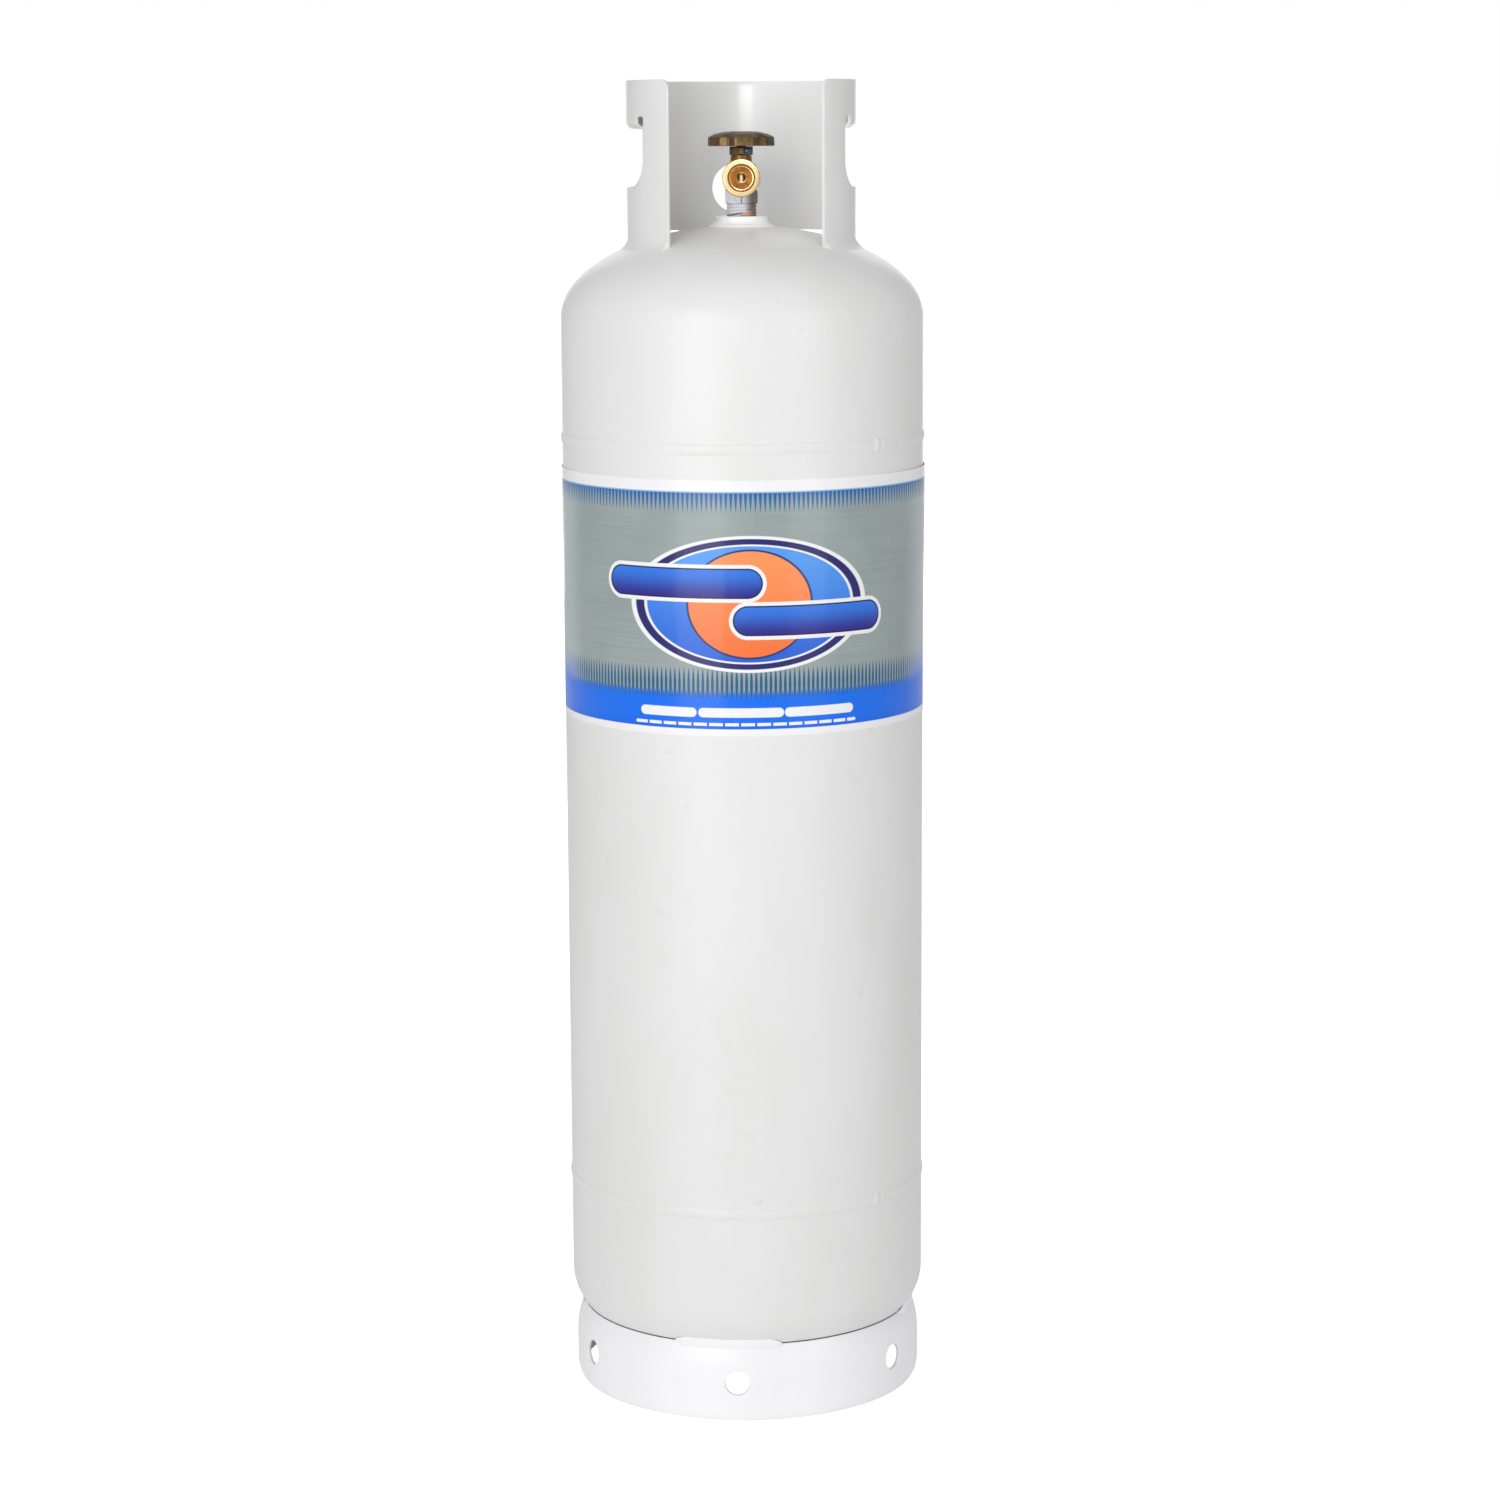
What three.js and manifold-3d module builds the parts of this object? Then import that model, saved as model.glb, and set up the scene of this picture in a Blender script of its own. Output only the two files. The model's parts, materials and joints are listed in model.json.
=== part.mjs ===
// A 100 lb class upright steel propane cylinder: welded shell, foot ring, valve guard collar,
// printed sleeve, and a brass outlet valve with a handwheel. Millimetres, +Z up.
// The origin is on the floor at the cylinder's axis, and the valve outlet faces -Y.

import * as THREE from "three";
import { mergeVertices } from "three/addons/utils/BufferGeometryUtils.js";
import Module from "manifold-3d";

const wasm = await Module();
wasm.setup();

// Driving dimensions.
const shellRadius = 180;
const wall = 2.6;
const headDepth = shellRadius / 2;
const lowerTangent = 111;
const upperTangent = 1085;
const lowerWeld = 214;
const upperWeld = 968;
const overallHeight = 1316;
const gap = 0.3;
const aroundShell = 32;
const aroundCollar = 64;
const aroundValve = 20;

const sleeveLow = 692;
const sleeveHigh = 939;
const sleeveFilm = 0.5;

const ringRadius = 176.3;
const ringSheet = 3;
const ringHoleRadius = 12.5;
const ringHoleHeight = 40;
const ringHoleTurn = -3.4;
const ringHoles = 6;

const collarRadius = 113;
const collarSheet = 3;
const collarTurn = 3.3;
const collarOpening = 41.8;
const collarCorner = 9;
const handHoleLow = 1212.5;
const handHoleCentre = 91.5;
const handHoleHalfAngle = 31;
const handHoleCorner = 26;
const curlRadius = 7.5;
const curlCentreHeight = 1276.5;
const curlHalfAngle = 22;
const curlNotch = 4.5;
const backHoleRadius = 24;
const backHoleHeight = 1210;
const drainTop = 1168;
const drainFrom = 112;
const drainTo = 150;

const bossRadius = 26;
const bossHole = 22.5;
const bossBore = 14.9;
const bossTop = 1184;

// Heights in the valve are above the boss's top face.
const hexLow = 12.3;
const hexHigh = 25.5;
const hexAcrossFlats = 32;
const outletHeight = 37.5;
const outletReach = 42;
const outletRadius = 18.5;
const outletBore = 11.3;
const chamberRadius = 7.5;
const chamberLow = 28;
const chamberHigh = 55.9;
const neckTop = 59;
const bonnetAcrossFlats = 23;
const bonnetTop = 67.7;
const wheelRadius = 33.7;
const wheelLow = 68.2;
const wheelHigh = 82.5;
const wheelLobes = 6;
const wheelTurn = 5;
const wheelDip = 3;
const reliefSeat = 15;
const reliefReach = 36;
const bleedAngle = 135;
const dipTubeOffset = 10.2;
const dipTubeLength = 247;

const degrees = Math.PI / 180;

// Turns (radius, height) pairs into the vectors of a profile that closes on itself.
function closedProfile(pairs) {
  return [...pairs, pairs[0]].map(([radius, height]) => new THREE.Vector2(radius, height));
}

// Leaves only the positions, each once, and drops triangles of no area.
function welded(geometry) {
  const bare = geometry.clone();
  bare.deleteAttribute("normal");
  bare.deleteAttribute("uv");
  const merged = mergeVertices(bare, 1e-4);
  const corners = merged.index.array;
  const kept = [];
  for (let i = 0; i < corners.length; i += 3) {
    const [a, b, c] = [corners[i], corners[i + 1], corners[i + 2]];
    if (a !== b && b !== c && c !== a) kept.push(a, b, c);
  }
  merged.setIndex(kept);
  return merged;
}

// A closed geometry as a solid that can be joined and cut.
function solid(geometry) {
  const mesh = welded(geometry);
  return new wasm.Manifold(
    new wasm.Mesh({
      numProp: 3,
      vertProperties: new Float32Array(mesh.attributes.position.array),
      triVerts: new Uint32Array(mesh.index.array),
    }),
  );
}

function surface(cutSolid) {
  const mesh = cutSolid.getMesh();
  const geometry = new THREE.BufferGeometry();
  geometry.setAttribute("position", new THREE.BufferAttribute(mesh.vertProperties, 3));
  geometry.setIndex(new THREE.BufferAttribute(mesh.triVerts, 1));
  return geometry;
}

// A profile of (radius, height) points spun about +Z.
function spun(points, around) {
  return new THREE.LatheGeometry(points, around).rotateX(Math.PI / 2);
}

function ring(pairs, around) {
  return spun(closedProfile(pairs), around);
}

// A profile that starts and ends on the axis.
function plug(pairs, around) {
  return spun(pairs.map(([radius, height]) => new THREE.Vector2(radius, height)), around);
}

function rod(radius, low, high, around) {
  return plug([[0, low], [radius, low], [radius, high], [0, high]], around);
}

function prism(outline, low, high) {
  const shape = new THREE.Shape(outline.map(([x, y]) => new THREE.Vector2(x, y)));
  return new THREE.ExtrudeGeometry(shape, { depth: high - low, bevelEnabled: false }).translate(0, 0, low);
}

function box(width, depth, low, high) {
  return new THREE.BoxGeometry(width, depth, high - low).translate(0, 0, (low + high) / 2);
}

// A hexagonal bar with one corner towards -Y.
function hexBar(acrossFlats, low, high) {
  const corner = acrossFlats / 2 / Math.cos(30 * degrees);
  const outline = [];
  for (let side = 0; side < 6; side += 1) {
    const angle = (side * 60 - 90) * degrees;
    outline.push([corner * Math.cos(angle), corner * Math.sin(angle)]);
  }
  return prism(outline, low, high);
}

// Lays a shape that points along +Z down, towards an angle from the front, at a height.
function laidTowards(geometry, angle, height) {
  return geometry.rotateX(Math.PI / 2).rotateZ(angle * degrees).translate(0, 0, height);
}

// A wedge about the axis between two angles from the front, less than half a turn wide.
function wedge(from, to, low, high) {
  const reach = 4 * shellRadius;
  const outline = [[0, 0]];
  for (const angle of [from, (from + to) / 2, to]) {
    outline.push([reach * Math.sin(angle * degrees), -reach * Math.cos(angle * degrees)]);
  }
  return solid(prism(outline, low, high));
}

function sector(geometry, from, to) {
  return solid(geometry).intersect(wedge(from, to, -overallHeight, 2 * overallHeight));
}

function cut(body, cutters) {
  return cutters.reduce((rest, cutter) => rest.subtract(solid(cutter)), body);
}

function joined(geometries) {
  return geometries.map(solid).reduce((whole, next) => whole.add(next));
}

function finish(color, roughness, metalness) {
  return new THREE.MeshStandardMaterial({ color, roughness, metalness, flatShading: true });
}

const materials = {
  enamel: finish(0xe4e4e2, 0.35, 0),
  ringPaint: finish(0xf0f0f3, 0.4, 0),
  film: finish(0x2f7fe0, 0.25, 0),
  brass: finish(0xd9a857, 0.25, 1),
  bronze: finish(0x8a6a3e, 0.45, 1),
  steel: finish(0xb4b6b8, 0.35, 1),
  tape: finish(0xb8bac2, 0.6, 0),
  rubber: finish(0x1c1c1e, 0.8, 0),
  blue: finish(0x1f5f9f, 0.3, 0),
};

function add(group, name, geometry, material) {
  const mesh = new THREE.Mesh(geometry, materials[material]);
  mesh.name = name;
  group.add(mesh);
}

// The quarter ellipse of a head from its tangent line to a radius, as (radius, rise) pairs.
function headArc(radius, rise, lastRadius, steps) {
  const end = Math.acos(lastRadius / radius);
  const pairs = [];
  for (let step = 0; step <= steps; step += 1) {
    const angle = (end * step) / steps;
    pairs.push([radius * Math.cos(angle), rise * Math.sin(angle)]);
  }
  return pairs;
}

// A drawn 2:1 head whose skirt is stepped in to slip inside the shell course.
// Its points are above its girth weld, and it is turned over for the lower end.
function head(skirt, hole) {
  const steps = 7;
  const outer = headArc(shellRadius, headDepth, hole, steps);
  const inner = headArc(shellRadius - wall, headDepth - wall, hole, steps);
  const spigot = shellRadius - wall - gap;
  const pairs = [
    [spigot, -14],
    [spigot, -0.5],
    [shellRadius, 2.5],
    ...outer.map(([radius, rise]) => [radius, skirt + rise]),
    ...inner.reverse().map(([radius, rise]) => [radius, skirt + rise]),
    [shellRadius - wall, 4],
    [spigot - wall, -1],
    [spigot - wall, -14],
  ];
  return hole > 0 ? ring(pairs, aroundShell) : spun(openAtAxis(pairs, steps + 4), aroundShell);
}

// Starts a closed outline at the axis, on its inner side.
function openAtAxis(pairs, start) {
  const turned = [...pairs.slice(start), ...pairs.slice(0, start)];
  return turned.map(([radius, height]) => new THREE.Vector2(radius < 1e-6 ? 0 : radius, height));
}

// The rolled course, open by a narrow slot at the back for its lengthwise weld.
function shellCourse() {
  const slot = solid(box(3, 20, 0, overallHeight).translate(0, shellRadius, 0));
  const inner = shellRadius - wall;
  const [low, high] = [lowerWeld + 2, upperWeld - 2];
  const tube = ring([[inner, low], [shellRadius, low], [shellRadius, high], [inner, high]], aroundShell);
  return surface(solid(tube).subtract(slot));
}

// The bead that fills the groove between a head's step and the edge of the course.
function girthWeld() {
  const foot = shellRadius + gap;
  return ring(
    [
      [foot, -6], [foot + 1.05, -1.5], [foot + 1.05, 1.5], [foot, 6],
      [foot, 1.9], [foot - 2.7, -0.8], [foot - 2.7, -1.7], [foot, -1.7],
    ],
    aroundShell,
  );
}

function shell() {
  const group = new THREE.Group();
  const lower = head(lowerWeld - lowerTangent, 0).rotateX(Math.PI).translate(0, 0, lowerWeld);
  add(group, "lower_head", lower, "enamel");
  add(group, "shell_course", shellCourse(), "enamel");
  const upper = head(upperTangent - upperWeld, bossHole).translate(0, 0, upperWeld);
  add(group, "upper_head", upper, "enamel");
  add(group, "lower_girth_weld", girthWeld().rotateX(Math.PI).translate(0, 0, lowerWeld), "enamel");
  add(group, "upper_girth_weld", girthWeld().translate(0, 0, upperWeld), "enamel");
  const seam = box(2.4, 2.4, lowerWeld + 3, upperWeld - 3).translate(0, shellRadius - wall / 2, 0);
  add(group, "seam_weld", seam, "enamel");
  const film = shellRadius + 0.5;
  const sleeve = [
    [film, sleeveLow], [film + sleeveFilm, sleeveLow],
    [film + sleeveFilm, sleeveHigh], [film, sleeveHigh],
  ];
  add(group, "printed_sleeve", ring(sleeve, aroundShell), "film");
  return group;
}

// A bulged band with its top edge turned in under the lower head.
function footRing() {
  const outer = ringRadius;
  const band = ring(
    [
      [outer - 6.3, 0], [outer - 3.5, 0], [outer - 0.8, 6], [outer, 14], [outer, 44],
      [outer - 1.2, 56], [outer - 3.8, 67], [outer - 8.1, 77.5],
      [outer - 10.8, 74.3], [outer - 6.7, 65.5], [outer - 4.1, 55],
      [outer - ringSheet, 44], [outer - ringSheet, 14], [outer - 3.8, 6.8],
    ],
    aroundShell,
  );
  const cutters = [];
  for (let hole = 0; hole < ringHoles; hole += 1) {
    const angle = ringHoleTurn + (hole * 360) / ringHoles;
    cutters.push(laidTowards(rod(ringHoleRadius, 150, 200, 16), angle, ringHoleHeight));
  }
  return surface(cut(solid(band), cutters));
}

function foot() {
  const group = new THREE.Group();
  add(group, "foot_ring", footRing(), "ringPaint");
  const fillet = ring(
    [[168.9, 78.2], [170.6, 73], [172.7, 75.2], [173.5, 79.7], [172.9, 84.4]],
    aroundShell,
  );
  for (let run = 0; run < 4; run += 1) {
    const start = -25 + run * 90;
    add(group, `foot_ring_weld_${run + 1}`, surface(sector(fillet, start, start + 36.5)), "ringPaint");
  }
  return group;
}

// A square notch less a quarter round, which rounds a corner off; it is laid on the collar's side.
function cornerNotch(toward) {
  const centre = [toward * collarCorner, overallHeight - collarCorner];
  const outline = [[-toward, overallHeight - collarCorner], [centre[0] - toward * collarCorner, centre[1]]];
  for (let step = 1; step <= 6; step += 1) {
    const angle = (step * 15) * degrees;
    outline.push([
      centre[0] - toward * collarCorner * Math.cos(angle),
      centre[1] + collarCorner * Math.sin(angle),
    ]);
  }
  outline.push([centre[0], overallHeight + 1], [-toward, overallHeight + 1]);
  const laid = prism(outline, collarRadius - 10, collarRadius + 10).rotateX(Math.PI / 2);
  return laid.rotateZ(toward * collarOpening * degrees);
}

// The outline of a hand hole: rounded below, and notched above at both ends of the curl.
function handHole(side) {
  const half = collarRadius * Math.sin(handHoleHalfAngle * degrees);
  const grip = collarRadius * Math.sin(curlHalfAngle * degrees);
  const notch = curlCentreHeight + curlNotch;
  const outline = [
    [half, notch], [grip, notch], [grip, curlCentreHeight], [-grip, curlCentreHeight], [-grip, notch],
    [-half, notch],
  ];
  for (let step = 0; step <= 6; step += 1) {
    const angle = (180 + step * 15) * degrees;
    outline.push([
      -half + handHoleCorner + handHoleCorner * Math.cos(angle),
      handHoleLow + handHoleCorner + handHoleCorner * Math.sin(angle),
    ]);
  }
  for (let step = 0; step <= 6; step += 1) {
    const angle = (270 + step * 15) * degrees;
    outline.push([
      half - handHoleCorner + handHoleCorner * Math.cos(angle),
      handHoleLow + handHoleCorner + handHoleCorner * Math.sin(angle),
    ]);
  }
  return prism(outline, 60, 140).rotateX(Math.PI / 2).rotateZ(side * handHoleCentre * degrees);
}

// The sheet's edge above a hand hole, rolled inwards into a grip.
function curl(side) {
  const centre = collarRadius - curlRadius;
  const inside = curlRadius - collarSheet;
  const steps = 6;
  const sweep = -245;
  const pairs = [[centre + curlRadius, curlCentreHeight + 1.5]];
  for (let step = 0; step <= steps; step += 1) {
    const angle = ((sweep * step) / steps) * degrees;
    pairs.push([centre + curlRadius * Math.cos(angle), curlCentreHeight + curlRadius * Math.sin(angle)]);
  }
  for (let step = steps; step >= 0; step -= 1) {
    const angle = ((sweep * step) / steps) * degrees;
    pairs.push([centre + inside * Math.cos(angle), curlCentreHeight + inside * Math.sin(angle)]);
  }
  pairs.push([centre + inside, curlCentreHeight + 1.5]);
  const middle = side * handHoleCentre;
  return sector(ring(pairs.reverse(), aroundCollar), middle - curlHalfAngle, middle + curlHalfAngle);
}

// The upper head as one full body, a little larger, to trim what is welded on it.
function dome(clearance) {
  const arc = headArc(shellRadius + clearance, headDepth + clearance, 0, 14);
  const pairs = [[0, upperTangent - 50], [shellRadius + clearance, upperTangent - 50]];
  arc.forEach(([radius, rise]) => pairs.push([radius < 1e-6 ? 0 : radius, upperTangent + rise]));
  return plug(pairs, aroundCollar);
}

function collarBody() {
  const inner = collarRadius - collarSheet;
  const low = upperTangent + 40;
  const band = [[inner, low], [collarRadius, low], [collarRadius, overallHeight], [inner, overallHeight]];
  let body = solid(ring(band, aroundCollar));
  body = body.subtract(wedge(-collarOpening, collarOpening, low - 1, overallHeight + 1));
  for (const side of [-1, 1]) {
    body = body.subtract(wedge(side * drainFrom, side * drainTo, low - 1, drainTop));
    body = body.subtract(solid(handHole(side))).subtract(solid(cornerNotch(side))).add(curl(side));
  }
  const backHole = laidTowards(rod(backHoleRadius, 90, 130, 24), 180, backHoleHeight);
  return surface(cut(body, [backHole, dome(0.4)]));
}

function collar() {
  const group = new THREE.Group();
  group.rotation.z = collarTurn * degrees;
  add(group, "collar", collarBody(), "enamel");
  const foot = collarRadius + gap;
  const fillet = ring([[foot, 1150], [foot + 6.5, 1150], [foot + 3, 1155.5], [foot, 1161]], aroundCollar);
  const runs = { left: [-111, -42.5], right: [42.5, 111], back: [151, 209] };
  for (const [place, [from, to]] of Object.entries(runs)) {
    const bead = cut(sector(fillet, from, to), [dome(0.4)]);
    add(group, `collar_weld_${place}`, surface(bead), "enamel");
  }
  return group;
}

function valveSeat() {
  const group = new THREE.Group();
  const boss = ring(
    [
      [bossBore, 1164], [bossHole - gap, 1164], [bossHole - gap, 1174.7], [bossRadius, 1174.7],
      [bossRadius, bossTop - 1], [bossRadius - 0.8, bossTop],
      [bossBore + 0.7, bossTop], [bossBore, bossTop - 0.8],
    ],
    24,
  );
  add(group, "valve_boss", boss, "ringPaint");
  const bead = [[26.3, 1174.5], [31.5, 1174], [31.3, 1175.6], [29.5, 1177.6], [26.3, 1178.6]];
  add(group, "boss_weld", ring(bead, 24), "ringPaint");
  return group;
}

// The forged body: inlet spigot, wrench flats, barrel and neck, with the outlet to the front,
// the relief valve's socket to the back and the bleed screw's boss between them.
function valveBody() {
  const barrel = plug([[0, 20], [15.5, 20], [15.5, 50], [10.6, 55], [10.6, neckTop], [0, neckTop]], 24);
  const spigot = plug([[0, -24], [13.2, -24], [13.4, 13], [0, 13]], aroundValve);
  const outlet = plug(
    [
      [0, 0], [16.5, 0], [16.5, 22], [outletRadius, 24], [outletRadius, outletReach - 0.8],
      [outletRadius - 0.8, outletReach], [0, outletReach],
    ],
    24,
  );
  const body = joined([
    barrel,
    spigot,
    hexBar(hexAcrossFlats, hexLow, hexHigh),
    laidTowards(outlet, 0, outletHeight),
    laidTowards(rod(10.5, 0, reliefReach, 20), 180, outletHeight),
    laidTowards(rod(4.5, 0, 18.5, 12), bleedAngle, outletHeight),
  ]);
  const mouth = plug(
    [
      [0, 19], [4.6, 19], [outletBore, 25], [outletBore, outletReach - 1.2],
      [outletBore + 1.6, outletReach + 0.4], [0, outletReach + 0.4],
    ],
    24,
  );
  const [bleedX, bleedY] = aside(bleedAngle, dipTubeOffset);
  return surface(
    cut(body, [
      rod(chamberRadius, chamberLow, chamberHigh + 1, 24),
      rod(8.8, chamberHigh, neckTop + 1, 24),
      rod(4.5, -25, chamberLow + 1, 12),
      laidTowards(rod(4.6, 0, 20, 12), 0, outletHeight),
      laidTowards(mouth, 0, outletHeight),
      rod(1.8, -25, outletHeight, 8).translate(0, 10, 0),
      laidTowards(rod(3.5, 8.6, reliefSeat + 1, 12), 180, outletHeight),
      laidTowards(rod(7, reliefSeat, reliefReach + 1, 24), 180, outletHeight),
      rod(2.3, -25, -9, 10).translate(bleedX, bleedY, 0),
      rod(1, -10, outletHeight, 8).translate(bleedX, bleedY, 0),
      laidTowards(rod(2, 9.4, 19, 12), bleedAngle, outletHeight),
    ]),
  );
}

// The x and y of a point at an angle from the front and a distance from the axis.
function aside(angle, distance) {
  return [distance * Math.sin(angle * degrees), -distance * Math.cos(angle * degrees)];
}

// Sealing tape wound on the inlet thread, with a ridge where each turn overlaps the last.
function threadTape() {
  const pairs = [[13.7, 11.7], [13.7, -18]];
  for (let turn = 0; turn < 5; turn += 1) {
    const low = -18 + turn * 6;
    pairs.push([14, low], [14.6, low + 3], [14.2, low + 5.7]);
  }
  return ring(pairs, aroundValve);
}

function bonnet() {
  const shoulder = neckTop + gap;
  const spigot = rod(8.5, chamberHigh + gap, shoulder + 1, 24);
  const nut = joined([hexBar(bonnetAcrossFlats, shoulder, bonnetTop), spigot]);
  const lockHole = laidTowards(rod(1.8, 8, 15, 12), 30, shoulder + 4.2);
  return surface(cut(nut, [rod(5.1, 50, 70, 24), lockHole]));
}

// The stem: a driving blade, a thrust flange, a round shank and a square for the handwheel.
function upperStem() {
  const top = wheelHigh - 4.5;
  const body = joined([
    box(9, 2.4, 45.8, 53),
    plug([[0, 52.8], [7, 52.8], [7, 54.5], [4.8, 54.5], [4.8, wheelLow], [0, wheelLow]], 24),
    box(6.6, 6.6, wheelLow - 1, top),
  ]);
  const groove = ring([[3.4, 62], [6, 62], [6, 63.6], [3.4, 63.6]], 24);
  return surface(cut(body, [groove, rod(2.2, top - 8, top + 1, 12)]));
}

function lowerSpindle() {
  const body = plug(
    [[0, 31], [5.2, 31], [5.2, 34], [3.5, 34.6], [3.5, 40.6], [7.2, 41.4], [7.2, 49.5], [0, 49.5]],
    24,
  );
  return surface(cut(solid(body), [box(9.6, 3, 42.5, 50)]));
}

// A low domed wheel with a scalloped rim, hollow below, with a hub and a square hole.
function handwheel() {
  const outline = [];
  const steps = wheelLobes * 8;
  for (let step = 0; step < steps; step += 1) {
    const angle = (step / steps) * 2 * Math.PI;
    const fromLobe = angle - (wheelTurn - 90) * degrees;
    const dip = Math.pow(Math.sin((wheelLobes * fromLobe) / 2), 4);
    const radius = wheelRadius - wheelDip * dip;
    outline.push([radius * Math.cos(angle), radius * Math.sin(angle)]);
  }
  const top = plug(
    [
      [0, wheelLow], [wheelRadius + 1, wheelLow], [wheelRadius - 0.7, wheelLow + 8], [27, wheelLow + 11.8],
      [18, wheelHigh - 0.6], [9, wheelHigh], [0, wheelHigh],
    ],
    32,
  );
  const hollow = ring(
    [
      [8, wheelLow - 1], [27.5, wheelLow - 1], [27, wheelLow + 5], [18, wheelLow + 9.5],
      [8, wheelLow + 9.5],
    ],
    24,
  );
  const body = solid(top).intersect(solid(prism(outline, wheelLow, wheelHigh + 1)));
  const screwSeat = rod(6, wheelHigh - 4, wheelHigh + 1, 24);
  return surface(cut(body, [hollow, screwSeat, box(7.2, 7.2, wheelLow - 1, wheelHigh)]));
}

// A compression spring along +Z.
class Helix extends THREE.Curve {
  constructor(radius, low, high, turns) {
    super();
    Object.assign(this, { radius, low, high, turns });
  }

  getPoint(t, target = new THREE.Vector3()) {
    const angle = t * this.turns * 2 * Math.PI;
    return target.set(
      this.radius * Math.cos(angle),
      this.radius * Math.sin(angle),
      this.low + (this.high - this.low) * t,
    );
  }
}

function spring() {
  const section = new THREE.Shape();
  section.absarc(0, 0, 0.7, 0, 2 * Math.PI);
  const path = new Helix(4.6, reliefSeat + 6.3, reliefSeat + 15.6, 4.5);
  return new THREE.ExtrudeGeometry(section, {
    steps: 45,
    extrudePath: path,
    curveSegments: 3,
    bevelEnabled: false,
  });
}

function reliefValve(group) {
  const behind = (geometry) => laidTowards(geometry, 180, outletHeight);
  const seal = rod(5.4, reliefSeat + gap, reliefSeat + 2.3, 24);
  add(group, "relief_seal", behind(seal), "rubber");
  const poppet = plug(
    [
      [0, reliefSeat + 2.6], [6.4, reliefSeat + 2.6], [6.4, reliefSeat + 5.2], [2.2, reliefSeat + 5.2],
      [2.2, reliefSeat + 15.6], [0, reliefSeat + 15.6],
    ],
    24,
  );
  add(group, "relief_poppet", behind(poppet), "brass");
  add(group, "relief_spring", behind(spring()), "steel");
  const retainer = [
    [2.7, reliefSeat + 16.6], [6.7, reliefSeat + 16.6],
    [6.7, reliefReach - 0.4], [2.7, reliefReach - 0.4],
  ];
  add(group, "relief_retainer", behind(ring(retainer, 24)), "brass");
  const cap = plug(
    [
      [0, reliefReach + gap], [10.9, reliefReach + gap], [10.9, reliefReach - 5], [12, reliefReach - 5],
      [12, reliefReach + 1], [11.2, reliefReach + 1.8], [0, reliefReach + 1.8],
    ],
    24,
  );
  add(group, "relief_cap", behind(cap), "blue");
}

function bleedScrew() {
  const body = plug(
    [[0, 11.6], [0.9, 11.6], [1.75, 13], [1.75, 18.9], [3.2, 18.9], [3.2, 21], [2.9, 21.4], [0, 21.4]],
    16,
  );
  const slot = box(8, 0.9, 20.4, 22);
  return laidTowards(surface(cut(solid(body), [slot])), bleedAngle, outletHeight);
}

function dipTube() {
  const [x, y] = aside(bleedAngle, dipTubeOffset);
  const top = -10;
  const tube = [[1.2, top - dipTubeLength], [2, top - dipTubeLength], [2, top], [1.2, top]];
  return ring(tube, 12).translate(x, y, 0);
}

function valve() {
  const group = new THREE.Group();
  group.position.z = bossTop;
  add(group, "valve_body", valveBody(), "brass");
  add(group, "thread_seal_tape", threadTape(), "tape");
  add(group, "bonnet", bonnet(), "bronze");
  const lockHead = plug([[0, 8.6], [1.5, 8.6], [1.5, 11.8], [3.1, 11.8], [2.6, 13.2], [0, 13.6]], 16);
  add(group, "bonnet_lock_screw", laidTowards(lockHead, 30, neckTop + gap + 4.2), "blue");
  add(group, "thrust_washer", ring([[5.2, 54.8], [7.2, 54.8], [7.2, 55.8], [5.2, 55.8]], 24), "tape");
  const seal = new THREE.TorusGeometry(4.22, 0.6, 6, 18).translate(0, 0, 62.8);
  add(group, "stem_o_ring", seal, "rubber");
  add(group, "upper_stem", upperStem(), "brass");
  add(group, "lower_spindle", lowerSpindle(), "brass");
  add(group, "seat_disc", rod(5, chamberLow + gap, 30.7, 24), "rubber");
  add(group, "handwheel", handwheel(), "bronze");
  const screwLow = wheelHigh - 3.7;
  const screw = plug(
    [
      [0, screwLow - 7], [1.9, screwLow - 7], [1.9, screwLow], [5.2, screwLow],
      [5.2, screwLow + 1.6], [3.6, screwLow + 2.9], [0, screwLow + 3.2],
    ],
    24,
  );
  add(group, "handwheel_screw", screw, "steel");
  reliefValve(group);
  add(group, "bleed_screw", bleedScrew(), "brass");
  add(group, "dip_tube", dipTube(), "brass");
  return group;
}

const group = new THREE.Group();
group.add(shell(), foot(), collar(), valveSeat(), valve());
group.updateMatrixWorld(true);

export default group;
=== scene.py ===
import json
import math

import bmesh
import bpy
import numpy as np
from mathutils import Matrix, Vector
from mathutils.geometry import delaunay_2d_cdt


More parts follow.
